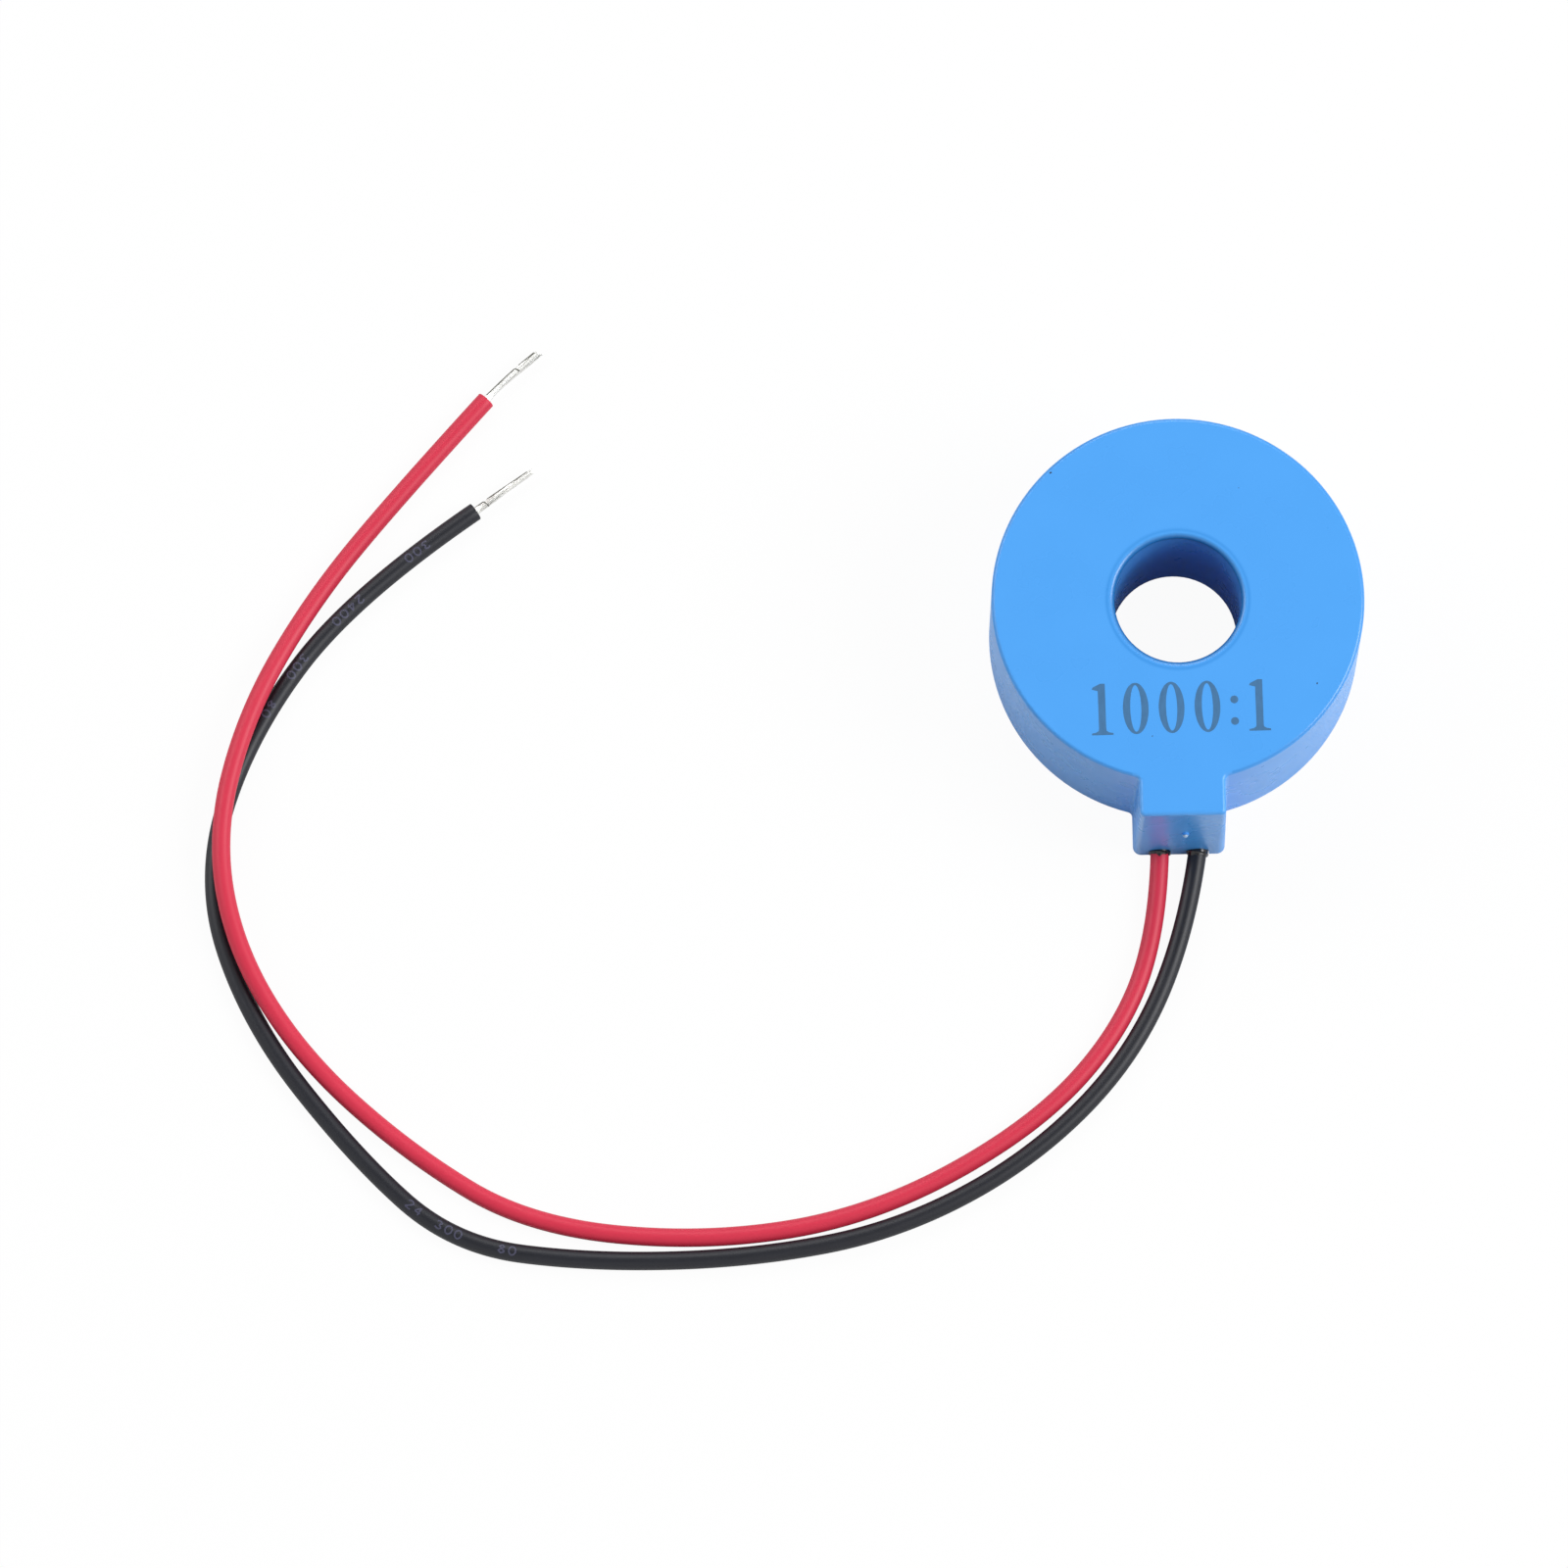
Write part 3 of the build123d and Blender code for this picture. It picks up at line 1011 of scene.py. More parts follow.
RED_ROUTE = [
    (-1.5, 4.6, 0),
    (-4.2, 12.8, 0),
    (-11, 20.2, 0),
    (-22.8, 26.5, 0),
    (-35, 28.3, 0),
    (-47.8, 26.8, 0),
    (-56.4, 21.3, 0),
    (-64.1, 14.1, 0.13),
    (-68.8, 6.3, 0.87),
    (-70.2, -2.3, 1),
    (-67.8, -11.4, 0.87),
    (-63, -19.9, 0.13),
    (-56.8, -27.5, 0),
    (-50.0, -34.9, 0),
]
BLACK_ROUTE = [
    (0.7, 4.9, 0),
    (-3.4, 14.7, 0),
    (-11, 22.4, 0),
    (-20.9, 27.6, 0),
    (-31.6, 29.5, 0),
    (-43.4, 29.6, 0),
    (-53.3, 28.1, 0),
    (-60.4, 21.4, 0),
    (-67.9, 11.4, 0),
    (-71.2, 0.7, 0),
    (-67.7, -10.2, 0),
    (-59.9, -20.4, 0),
    (-50.9, -26.5, 0),
]


# ---- Dirt on the closed face ----
@dataclass
class DirtSpecks:
    """Small dark specks that lie on the closed face."""

    case: CaseFrame
    places: tuple[Triple, ...] = (
        (-9.0, 9.58, 0.085),
        (9.9, -6.42, 0.065),
        (-2.1, -10.1, 0.045),
        (4.6, 8.2, 0.035),
    )
    flatness: float = 0.07
    sunk: float = 0.3
    ragged: Pair = (0.25, 0.15)
    rings: int = 6
    around: int = 16
    seed: int = 3

    def speck(self, middle: Triple, phases: np.ndarray) -> Surface:
        """A flat ragged ball: P(a, b) = centre + (flat(a) cos a sin b, flat(a) sin a sin b, height cos b).

        Here flat(a) = radius x (1 + the sum of ragged_n x sin(n a + phase_n)), for n = 2 and 3.

        Args:
            middle: its place on the face and its radius, in millimetres.
            phases: its two waves' phases.

        Returns:
            The closed ball.
        """
        across, ahead, radius = (value * MM for value in middle)
        a = np.linspace(0.0, 2.0 * math.pi, self.around, endpoint=False)[None, :]
        b = np.linspace(0.0, math.pi, self.rings + 1)[1:-1, None]
        waves = zip((2.0, 3.0), self.ragged, phases)
        wave = 1.0 + sum(part * np.sin(number * a + phase) for number, part, phase in waves)
        height = self.flatness * radius
        flat = radius * wave * np.sin(b)
        grid = np.broadcast_arrays(flat * np.cos(a), flat * np.sin(a), height * np.cos(b))
        poles = np.array([[0.0, 0.0, height], [0.0, 0.0, -height]])
        points = np.concatenate([np.stack(grid, axis=-1).reshape(-1, 3), poles])
        points += (across, ahead, self.case.face - self.sunk * height)
        rows, ring = self.rings - 1, np.arange(self.around)
        faces = [
            grid_faces(rows, self.around, wrap_columns=True)[:, ::-1],
            fan_faces(ring, rows * self.around),
            fan_faces(ring + (rows - 1) * self.around, rows * self.around + 1, flip=True),
        ]
        return Surface(points, faces, points[:, :2] / MM)

    def build(self, material: Material) -> None:
        """Build all the specks as one piece."""
        draws = np.random.default_rng(self.seed)
        specks = [self.speck(middle, draws.uniform(0.0, 6.0, 2)) for middle in self.places]
        make_piece("dirt_specks", merged(specks), material)


# ---- Print on a jacket ----
STROKES: dict[str, tuple[Pair, ...]] = {
    "0": ((0.3, 0), (0.7, 0), (1, 0.3), (1, 0.7), (0.7, 1), (0.3, 1), (0, 0.7), (0, 0.3), (0.3, 0)),
    "2": ((0, 0.8), (0.3, 1), (0.7, 1), (1, 0.75), (0, 0), (1, 0)),
    "3": ((0, 0.85), (0.4, 1), (0.9, 0.8), (0.5, 0.52), (1, 0.25), (0.6, 0), (0, 0.15)),
    "4": ((0.75, 0), (0.75, 1), (0, 0.3), (1, 0.3)),
    "8": (
        *((0.5, 0.52), (0.1, 0.78), (0.5, 1), (0.9, 0.78)),
        *((0.5, 0.52), (0, 0.25), (0.5, 0), (1, 0.25), (0.5, 0.52)),
    ),
}


@dataclass
class JacketPrint:
    """Plain numbers printed along the top of a lead's jacket, as thin raised strokes."""

    lead: Lead
    groups: tuple[tuple[str, float], ...] = (
        ("300", 5.3),
        ("2400", 12.0),
        ("300", 17.6),
        ("80", 21.4),
        ("24", 64.0),
        ("300", 67.0),
        ("80", 71.5),
    )
    height: float = 0.62 * MM
    width: float = 0.48 * MM
    pitch: float = 0.78 * MM
    half_stroke: float = 0.06 * MM
    sunk: float = 0.02 * MM
    stand: float = 0.006 * MM
    step: float = 0.08 * MM

    def wrapped(self, place: np.ndarray, across: np.ndarray, lift: float) -> np.ndarray:
        """Points on the jacket at lengths along it and round it.

        P = centre(place) + (radius + lift) x (sin a x beside + cos a x above), with a = across / radius.

        Args:
            place: lengths along the lead's line.
            across: lengths round the jacket from its top.
            lift: the height over the jacket.

        Returns:
            The points.
        """
        line = self.lead.line
        run = np.concatenate([[0.0], np.cumsum(np.linalg.norm(np.diff(line, axis=0), axis=1))])
        _, beside, above = path_axes(line)
        centre, side, top = (
            np.column_stack([np.interp(place, run, column) for column in values.T])
            for values in (line, beside, above)
        )
        angle = (across / self.lead.radius)[:, None]
        return centre + (self.lead.radius + lift) * (np.sin(angle) * side + np.cos(angle) * top)

    def stroke(self, corners: np.ndarray) -> Surface:
        """A closed ribbon along a polyline that is laid on the jacket.

        Args:
            corners: the polyline's corners, each a length along the lead and a length round it.

        Returns:
            The ribbon.
        """
        runs = np.concatenate([[0.0], np.cumsum(np.linalg.norm(np.diff(corners, axis=0), axis=1))])
        stations = np.linspace(0.0, runs[-1], max(2, int(runs[-1] / self.step)))
        flat = np.column_stack([np.interp(stations, runs, column) for column in corners.T])
        heading = unit(np.gradient(flat, axis=0))
        offset = self.half_stroke * np.column_stack([-heading[:, 1], heading[:, 0]])
        left, right = flat + offset, flat - offset
        edges = [(left, -self.sunk), (left, self.stand), (right, self.stand), (right, -self.sunk)]
        columns = [self.wrapped(edge[:, 0], edge[:, 1], lift) for edge, lift in edges]
        points = np.stack(columns, axis=1).reshape(-1, 3)
        last = 4 * len(flat) - 4
        ends = np.array([[0, 1, 2, 3], [last + 3, last + 2, last + 1, last]])
        faces = grid_faces(len(flat), 4, wrap_columns=True)
        return Surface(points, [faces, ends], points[:, :2] / self.height)

    def build(self, material: Material) -> None:
        """Lay each group of digits so that it is read from the jacket's cut end.

        Args:
            material: the print's finish.
        """
        total = np.linalg.norm(np.diff(self.lead.line, axis=0), axis=1).sum()
        strokes = []
        for digits, from_end in self.groups:
            for number, digit in enumerate(digits):
                shape = np.array(STROKES[digit]) - 0.5
                start = total - from_end * MM - (number - (len(digits) - 1) / 2.0) * self.pitch
                corners = [start - shape[:, 0] * self.width, shape[:, 1] * self.height]
                strokes.append(self.stroke(np.column_stack(corners)))
        make_piece(self.lead.name + "_jacket_print", merged(strokes), material)


# ---- Mark on the closed face ----
class Glyph(Enum):
    """The shapes that the mark is made of."""

    ZERO = "0"
    ONE = "1"
    COLON = ":"


@dataclass
class Mark:
    """The turns ratio on the closed face: thin plates in the shape of upright digits with serifs."""

    case: CaseFrame
    text: str = "1000:1"
    centre: Pair = (0.0, -8.0 * MM)
    height: float = 3.8 * MM
    width: float = 1.85 * MM
    gap: float = 0.74 * MM
    stem: float = 0.52 * MM
    hairline: float = 0.18 * MM
    sunk: float = 0.01 * MM
    stand: float = 0.008 * MM
    tilt: float = 0.65
    one_advance: float = 0.84
    one_foot: float = 0.42
    colon: Pair = (-0.3, 0.12)
    colon_advance: float = 1.1
    dot: float = 0.55
    dot_turn: float = 0.49 * math.pi
    steps: int = 64

    def plate(self, left: np.ndarray, right: np.ndarray) -> Surface:
        """A flat plate between two edges that are given from its foot to its head.

        P(v, u) takes four corners at each height v: left low, left high, right high and right low.

        Args:
            left: the left edge's points in the plane.
            right: the right edge's points in the plane.

        Returns:
            The closed plate.
        """
        low, high = self.case.face - self.sunk, self.case.face + self.stand
        columns = [(left, low), (left, high), (right, high), (right, low)]
        stack = [np.column_stack([edge, np.full(len(edge), z)]) for edge, z in columns]
        points = np.stack(stack, axis=1).reshape(-1, 3)
        rows = len(left)
        ends = np.array([[3, 2, 1, 0], [4 * rows - 4, 4 * rows - 3, 4 * rows - 2, 4 * rows - 1]])
        faces = grid_faces(rows, 4, wrap_columns=True)[:, ::-1]
        return Surface(points, [faces, ends[:, ::-1]], points[:, :2] / self.height)

    def zero(self) -> Surface:
        """A nought: a band between an outer and a narrower inner oval, swollen at its sides.

        Both ovals are (half width x cos a, half height x sin a); the band has a low, a high, an inner high
        and an inner low edge.
        """
        a = np.linspace(0.0, 2.0 * math.pi, self.steps, endpoint=False)
        outer = np.column_stack([0.5 * self.width * np.cos(a), 0.5 * self.height * np.sin(a)])
        narrow = (0.5 * self.width - self.stem, 0.5 * self.height - self.hairline)
        inner = np.column_stack([narrow[0] * np.cos(a), narrow[1] * np.sin(a)])
        low, high = self.case.face - self.sunk, self.case.face + self.stand
        rows = [(outer, low), (outer, high), (inner, high), (inner, low)]
        points = np.concatenate([np.column_stack([edge, np.full(self.steps, z)]) for edge, z in rows])
        faces = grid_faces(4, self.steps, wrap_rows=True, wrap_columns=True)
        return Surface(points, [faces], points[:, :2] / self.height)

    def one(self) -> Surface:
        """A one: a stem with a bracketed foot serif and a flag to its left near the head."""
        top, half = self.height, self.stem / 2.0
        foot = self.one_foot * self.width
        levels = np.array([0.0, 0.035, 0.05, 0.08, 0.13, 0.8, 0.86, 0.89, 0.93, 1.0]) * top - top / 2.0
        serif = [foot, foot, 0.6 * foot, 1.1 * half]
        left = [-reach for reach in (*serif, half, half, half, 0.9 * foot, 0.8 * foot, 0.1 * foot)]
        right = [*serif, half, half, half, half, half, half]
        return self.plate(np.column_stack([left, levels]), np.column_stack([right, levels]))

    def round_dot(self, height: float) -> Surface:
        """A round dot: half its width at the angle a is radius x cos a, from foot to head.

        Args:
            height: the dot's place above the middle of the line.

        Returns:
            The dot's plate.
        """
        a = np.linspace(-self.dot_turn, self.dot_turn, self.steps // 4)
        radius = self.dot * self.stem
        levels = height + radius * np.sin(a)
        half = radius * np.cos(a)
        return self.plate(np.column_stack([-half, levels]), np.column_stack([half, levels]))

    def build(self, material: Material) -> None:
        """Set the glyphs side by side about the mark's centre, turned by its tilt."""
        advance = {
            Glyph.ZERO: self.width,
            Glyph.ONE: self.one_advance * self.width,
            Glyph.COLON: self.colon_advance * self.stem,
        }
        shapes = {
            Glyph.ZERO: self.zero,
            Glyph.ONE: self.one,
            Glyph.COLON: lambda: merged([self.round_dot(share * self.height) for share in self.colon]),
        }
        glyphs = [Glyph(letter) for letter in self.text]
        widths = np.array([advance[glyph] for glyph in glyphs])
        starts = np.concatenate([[0.0], np.cumsum(widths + self.gap)])[:-1]
        middles = starts + widths / 2.0 - (starts[-1] + widths[-1]) / 2.0
        turn = math.radians(self.tilt)
        rotation = np.array([[math.cos(turn), -math.sin(turn)], [math.sin(turn), math.cos(turn)]])
        placed = []
        for glyph, middle in zip(glyphs, middles):
            shape = shapes[glyph]()
            shape.points[:, 0] += middle
            shape.points[:, :2] = shape.points[:, :2] @ rotation.T + np.array(self.centre)
            placed.append(shape)
        make_piece("ratio_mark", merged(placed), material)


# ---- Gate stub on the tab's front ----
@dataclass
class GateTip:
    """The torn tip of the stub that the mould's gate leaves on the tab's front, pale partly from stress
    whitening and partly as a painted highlight.
    """

    case: CaseFrame
    across: float = 0.3 * MM
    height: float = 6.7 * MM
    sunk: float = 0.04 * MM
    radius: float = 0.21 * MM
    bulge: float = 0.13 * MM
    ragged: float = 0.2
    seed: int = 5
    rings: int = 10
    around: int = 36

    def build(self, material: Material) -> None:
        """Build a ragged dome that stands out from the stub's end.

        P(t, a) = (radius x wobble(a) x sin t x (cos a, sin a), out(t, a)), where wobble is 1 + ragged x
        (0.5 x sin(2 a) + 0.35 x sin(5 a)), and out is bulge x cos t x (1 + ragged x sin(3 a + 5 t)), each
        sine with a phase of its own.
        """
        draws = np.random.default_rng(self.seed)
        t = np.linspace(0.5 * math.pi, 0.02 * math.pi, self.rings)[:, None]
        a = np.linspace(0.0, 2.0 * math.pi, self.around, endpoint=False)[None, :]
        phase = draws.uniform(0.0, 2.0 * math.pi, 3)
        wobble = 1.0 + self.ragged * (0.5 * np.sin(2.0 * a + phase[0]) + 0.35 * np.sin(5.0 * a + phase[1]))
        out = self.bulge * np.cos(t) * (1.0 + self.ragged * np.sin(3.0 * a + 5.0 * t + phase[2]))
        root = self.case.front - self.sunk
        flat = self.radius * wobble * np.sin(t)
        grid = [self.across + flat * np.cos(a), root - out, self.height + flat * np.sin(a)]
        points = np.stack(np.broadcast_arrays(*grid), axis=-1).reshape(-1, 3)
        ends = np.array([[self.across, root, self.height], [self.across, root - self.bulge, self.height]])
        count, ring = len(points), np.arange(self.around)
        faces = [
            grid_faces(self.rings, self.around, wrap_columns=True),
            fan_faces(ring, count, flip=True),
            fan_faces(ring + count - self.around, count + 1),
        ]
        points = np.concatenate([points, ends])
        make_piece("gate_tip", Surface(points, faces, points[:, [0, 2]] / self.radius), material)


# ---- Resin where the leads leave ----
@dataclass
class ExitResin:
    """The ragged collar of resin that creeps out of a notch and onto its lead."""

    name: str
    centre: Place
    heading: Place
    seed: int
    lead_radius: float = 0.675 * MM
    notch_radius: float = 0.775 * MM
    recess: float = 0.15 * MM
    creep: float = 0.36 * MM
    spill: float = 0.09 * MM
    film: float = 0.05 * MM
    clear: float = 0.05 * MM
    least_reach: float = 0.25
    reach_waves: int = 9
    least_swell: float = 0.6
    swell_waves: int = 6
    around: int = 120

    def ragged(self, draws: np.random.Generator, waves: int) -> np.ndarray:
        """A seeded wave round the lead, from 0 to 1: a sum of sines whose heights fall with their number."""
        turn = np.linspace(0.0, 2.0 * math.pi, self.around, endpoint=False)
        numbers = np.arange(2, 2 + waves)
        phase = draws.uniform(0.0, 2.0 * math.pi, waves)
        weight = draws.uniform(0.4, 1.0, waves) / np.sqrt(numbers)
        wave = (weight * np.sin(numbers * turn[:, None] + phase)).sum(axis=1)
        return (wave - wave.min()) / np.ptp(wave)

    def notch_outline(self, turn: np.ndarray) -> np.ndarray:
        """How far the notch's wall is from the lead's middle: an arch above, straight sides, the rim below.

        Below, it is the smaller of half width / |cos a| and the height above the rim / |sin a|.

        Args:
            turn: the angle a from beside to above.

        Returns:
            The distance at each angle.
        """
        aside = self.notch_radius / np.maximum(np.abs(np.cos(turn)), LEAST_SINE)
        under = (self.centre[2] - self.clear) / np.maximum(np.abs(np.sin(turn)), LEAST_SINE)
        return np.where(np.sin(turn) < 0.0, np.minimum(aside, under), self.notch_radius)

    def build(self, material: Material) -> None:
        """Build the collar.

        P(a, v) goes from the notch's edge inside the wall, v = 0, out over the lead's jacket to the ragged
        rim, and back along the jacket: radius(v) and forward(v) are rows of a profile that each angle a
        scales.
        """
        draws = np.random.default_rng(self.seed)
        reach = self.least_reach + (1.0 - self.least_reach) * self.ragged(draws, self.reach_waves)
        swell = self.least_swell + (1.0 - self.least_swell) * self.ragged(draws, self.swell_waves)
        turn = np.linspace(0.0, 2.0 * math.pi, self.around, endpoint=False)
        lead, edge = self.lead_radius, self.notch_outline(turn)
        gap = edge - lead
        radius = np.stack(
            [
                edge,
                edge,
                edge + self.spill * (2.0 * swell - 1.0),
                lead + gap * (0.6 + 0.4 * swell),
                lead + gap * 0.55 * swell,
                lead + self.film * (0.5 + 0.5 * swell),
                lead + 0.3 * self.film * np.ones(self.around),
                lead - 0.3 * self.film * np.ones(self.around),
                lead - 0.3 * self.film * np.ones(self.around),
            ]
        )
        out = np.array([-2.0, -0.3, 0.06, 0.25, 0.5, 0.8, 1.0, 1.0, -12.0])
        forward = np.where(out[:, None] > 0.0, out[:, None] * self.creep * reach, out[:, None] * self.recess)
        along = unit(np.array(self.heading))
        beside = unit(np.cross(along, (0.0, 0.0, 1.0)))
        above = np.cross(beside, along)
        ray = np.cos(turn)[:, None] * beside + np.sin(turn)[:, None] * above
        points = np.array(self.centre) + radius[..., None] * ray + forward[..., None] * along
        points = points.reshape(-1, 3)
        points[:, 2] = np.maximum(points[:, 2], self.clear)
        faces = grid_faces(len(radius), self.around, wrap_rows=True, wrap_columns=True)
        collar = Surface(points, [faces], points[:, [0, 2]] / self.notch_radius)
        make_piece(self.name, collar, material)


# ---- Resin's free surface ----
@dataclass
class ResinSurface:
    """The resin's surface inside the rim: it climbs a little at the walls and has shallow ripples."""

    case: CaseFrame
    level: float
    inner: float = 5.6 * MM
    outer: float = 12.5 * MM
    tab_half: float = 2.55 * MM
    tab_wall: float = 0.8 * MM
    climb: float = 0.2 * MM
    climb_reach: float = 0.3 * MM
    ripple: float = 0.03 * MM
    splices: tuple[Pair, ...] = ((-1.36 * MM, -13.8 * MM), (1.66 * MM, -13.8 * MM))
    splice_half: Pair = (0.75 * MM, 1.5 * MM)
    splice_cover: float = 0.13 * MM
    wave_number: float = 900.0
    waves: int = 6
    sunk: float = 0.05 * MM
    rows: int = 60
    around: int = 720
    seed: int = 11

    def build(self, material: Material) -> None:
        """Build the skin, closed by a flat back inside the resin.

        In polar places (r, a), r runs from the bore's tube to the wall, whose distance is that of the ring
        or, where it is further, of the tab's front or sides. The height is level - climb x exp(-near / reach)
        - ripple x a sum of sines of x and y, where near is the distance to the nearer wall. Over a splice it
        is at most level - cover x exp(-aside^4), where aside is the distance from it in its half sizes.

        Args:
            material: the resin's finish.
        """
        draws = np.random.default_rng(self.seed)
        a = np.linspace(0.0, 2.0 * math.pi, self.around, endpoint=False)[None, :]
        ahead = -(self.case.front + self.tab_wall)
        to_front = np.where(-np.sin(a) > 0.0, ahead / np.maximum(-np.sin(a), LEAST_SINE), 0.0)
        to_side = self.tab_half / np.maximum(np.abs(np.cos(a)), LEAST_SINE)
        wall = np.maximum(self.outer, np.minimum(to_front, to_side))
        share = 0.5 - 0.5 * np.cos(np.linspace(0.0, math.pi, self.rows))[:, None]
        r = self.inner + share * (wall - self.inner)
        x, y = r * np.cos(a), r * np.sin(a)
        near = np.minimum(r - self.inner, wall - r)
        waves = draws.uniform(-self.wave_number, self.wave_number, (self.waves, 2))
        phases = draws.uniform(0.0, 2.0 * math.pi, self.waves)
        swell = sum(np.sin(wave[0] * x + wave[1] * y + phase) for wave, phase in zip(waves, phases))
        swell = (1.0 + swell / self.waves) / 2.0
        z = self.level - self.climb * np.exp(-near / self.climb_reach) - self.ripple * swell
        for middle_x, middle_y in self.splices:
            aside = np.hypot((x - middle_x) / self.splice_half[0], (y - middle_y) / self.splice_half[1])
            z = np.minimum(z, self.level - self.splice_cover * np.exp(-(aside**4)))
        free = np.stack([x, y, z], axis=-1)
        back = free[[-1, 0]]
        back[..., 2] = self.level + self.sunk
        points = np.concatenate([free, back]).reshape(-1, 3)
        faces = grid_faces(self.rows + len(back), self.around, wrap_rows=True, wrap_columns=True)
        make_piece("resin_surface", Surface(points, [faces], points[:, :2] / self.outer), material)


# ---- Case ----
@dataclass
class CaseSkin:
    """The case's own shape, joined into one skin whose flats shade flat and whose rounds shade evenly."""

    case: CaseFrame
    node: str = "case_shell"
    same_place: float = 0.0005 * MM
    smooth: float = 35.0
    edge_round: float = 0.3 * MM
    bore_round: float = 0.4 * MM
    bore_radius: float = 4.6 * MM
    tab_half: float = 3.8 * MM
    flat: float = 0.9999
    facing: float = 0.6
    on_round: float = 0.9

    def round_normals(self, places: np.ndarray) -> tuple[np.ndarray, np.ndarray]:
        """Exact normals of the ring's wall and rounded edges, and of the bore's.

        With h the unit vector away from the axis, r the distance from it and z the height, the ring's normal
        is side x h + rise x up, where side = r - (R - round) and rise = z - (H - round), each held between 0
        and the round's radius. The bore's is -side x h + rise x up, where side = B + round - r.

        Args:
            places: points on the case.

        Returns:
            The normals, and whether each point lies on such a wall or round.
        """
        across, height = places[:, :2], places[:, 2]
        r = np.linalg.norm(across, axis=1)
        outer = r > 0.5 * (self.case.radius + self.bore_radius)
        size = np.where(outer, self.edge_round, self.bore_round)
        side = np.where(outer, r - (self.case.radius - size), self.bore_radius + size - r)
        side, rise = np.clip(side, 0.0, size), np.clip(height - (self.case.face - size), 0.0, size)
        normals = np.column_stack([across * (np.where(outer, side, -side) / r)[:, None], rise])
        length = np.linalg.norm(normals, axis=1)
        beside_tab = (places[:, 1] > 0.0) | (np.abs(places[:, 0]) > self.tab_half)
        sound = (length > self.on_round * size) & (beside_tab | ~outer)
        return normals / np.maximum(length, 1e-9)[:, None], sound

    def build(self, material: Material) -> None:
        """Join the node's triangles where their corners meet, and set the normals of their corners.

        A flat face's corners take its own normal, and those on a round or round wall take the exact one.

        Args:
            material: the case's finish.
        """
        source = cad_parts[self.node].data
        points = np.empty(3 * len(source.vertices))
        source.vertices.foreach_get("co", points)
        corners = np.empty(len(source.loops), dtype=np.int32)
        source.loops.foreach_get("vertex_index", corners)
        points = points.reshape(-1, 3)
        cells = np.round(points / self.same_place).astype(np.int64)
        _, kept, joined = np.unique(cells, axis=0, return_index=True, return_inverse=True)
        triangles = joined.reshape(-1)[corners].reshape(-1, 3)
        triangles = triangles[(triangles != np.roll(triangles, 1, axis=1)).all(axis=1)]
        points = points[kept]
        shape = Surface(points, [triangles], points[:, :2])
        skin = make_piece("case_skin", shape, material, smooth=self.smooth)
        normals = np.empty(3 * len(skin.data.loops), dtype=np.float32)
        skin.data.corner_normals.foreach_get("vector", normals)
        normals = normals.reshape(-1, 3).astype(float)
        first, second, third = (points[triangles[:, corner]] for corner in range(3))
        faces = np.repeat(unit(np.cross(second - first, third - first)), 3, axis=0)
        exact, sound = self.round_normals(points[triangles.ravel()])
        flat = np.abs(faces[:, 2]) > self.flat
        sound &= ~flat & ((faces * exact).sum(axis=1) > self.facing)
        normals[sound], normals[flat] = exact[sound], faces[flat]
        skin.data.normals_split_custom_set(normals.tolist())
        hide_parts(self.node)


# ---- CAD nodes that are shown as they are ----
@dataclass
class CarriedNodes:
    """The CAD nodes whose shapes stay, with the finishes that they take."""

    effects: Effects

    def dress(self, finish: Finish, *nodes: str) -> Material:
        """Give nodes one finish.

        Args:
            finish: the finish.
            nodes: the nodes' names.

        Returns:
            The material.
        """
        material = finish.material(self.effects)
        for name in nodes:
            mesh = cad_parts[name].data
            mesh.materials.clear()
            mesh.materials.append(material)
            LOG.info("%s: carried over in %s", name, finish.name)
        return material


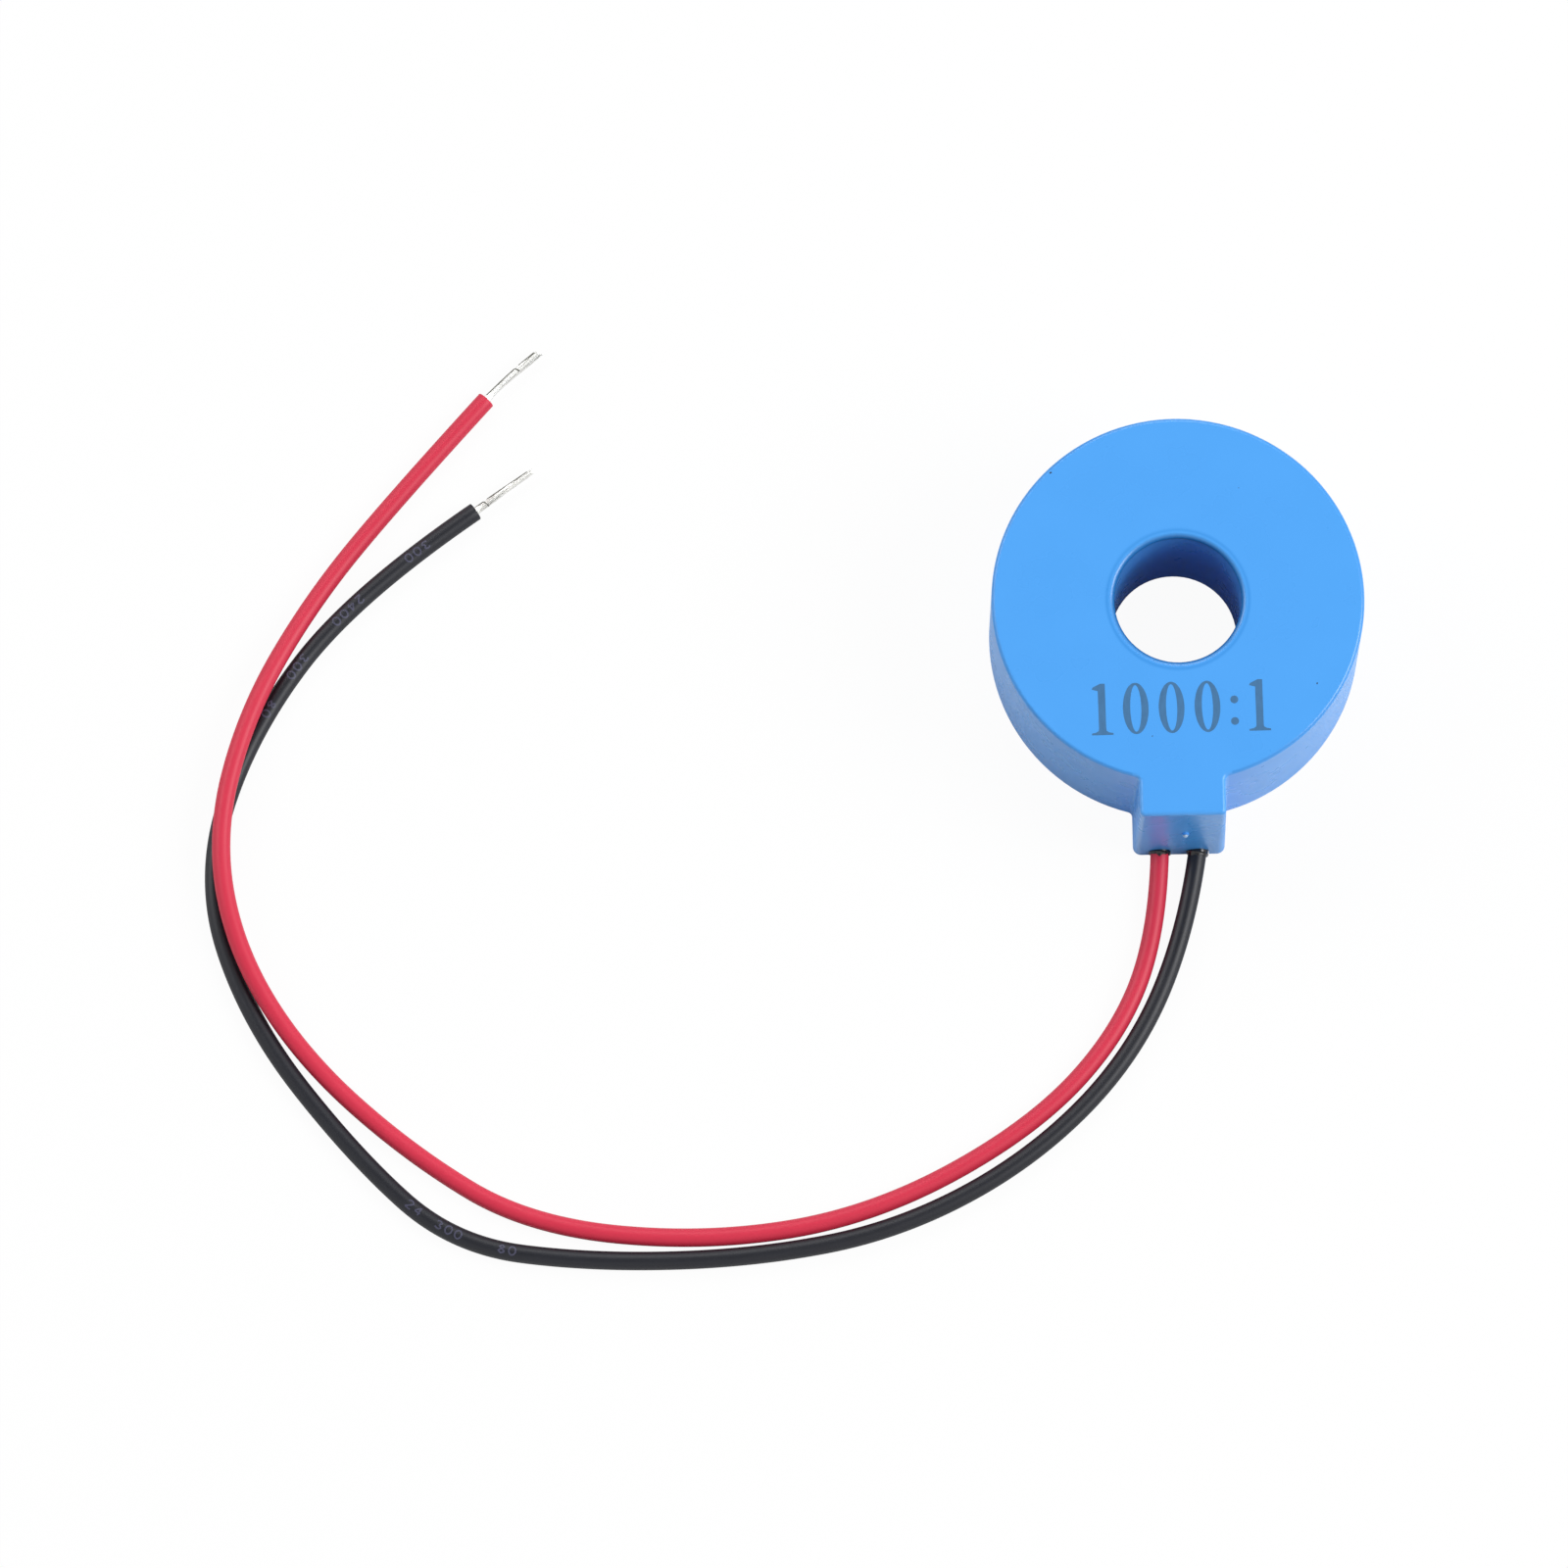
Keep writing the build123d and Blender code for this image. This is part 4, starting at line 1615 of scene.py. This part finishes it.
def both(ending: str) -> tuple[str, str]:
    """The names of the red and the black lead's nodes with an ending."""
    return ("red_" + ending, "black_" + ending)


def main() -> None:
    """Build the object round its frame: studio, leads, case, inner pieces, mark and resin."""
    logging.basicConfig(level=logging.INFO, format="%(message)s")
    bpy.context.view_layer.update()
    scene = bpy.context.scene
    scene.view_settings.view_transform = "Standard"
    studio = Studio()
    studio.place_camera()
    case = CaseFrame.read()
    effects = Effects()
    # The second material is painted shade for the dark stray strand.
    tin, shade_strand = TINNED_COPPER.material(effects), SHADED_STRAND_COPPER.material(effects)
    leads = [
        Lead(
            "red",
            RED_JACKET,
            start=(-1.382, -14.901, 0.995),
            route=RED_ROUTE,
            tip=(-45.9, -38.5, 0),
            length=0.14,
            case=case,
            seed=3,
        ),
        Lead(
            "black",
            BLACK_JACKET,
            start=(1.518, -14.909, 0.992),
            route=BLACK_ROUTE,
            tip=(-46.6, -29.5, 0),
            length=0.1389,
            case=case,
            seed=8,
            opening=Opening.MIDDLE,
            knot=0.3,
        ),
    ]
    for lead in leads:
        lead.build(effects, tin, shade_strand)
    studio.light()
    studio.lay_floor()

    carried = CarriedNodes(effects)
    CaseSkin(case).build(CASE_PLASTIC.material(effects))
    resin = carried.dress(RESIN, "potting_compound")
    carried.dress(CORE_STRIP, "core_ring")
    carried.dress(CORE_BOX, "core_box_cup", "core_box_lid")
    carried.dress(ENAMELLED, "secondary_winding", *both("winding_end"))
    carried.dress(TAPE, "winding_tape")
    carried.dress(SOLDER, *both("solder_joint"))
    carried.dress(SLEEVE, *both("splice_sleeve"))
    carried.dress(NODE_TINNED, *both("inner_end"))

    Mark(case).build(MARK_INK.material(effects))
    GateTip(case).build(STUB_WHITE_AND_HIGHLIGHT.material(effects))
    DirtSpecks(case).build(DIRT.material(effects))
    JacketPrint(leads[1]).build(JACKET_INK.material(effects))
    ResinSurface(case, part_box("potting_compound")[0].z).build(resin)
    for lead in leads:
        crossing, heading = lead.crossing()
        ExitResin(lead.name + "_exit_resin", crossing, heading, lead.seed + EXIT_SEED).build(resin)


if __name__ == "__main__":
    main()
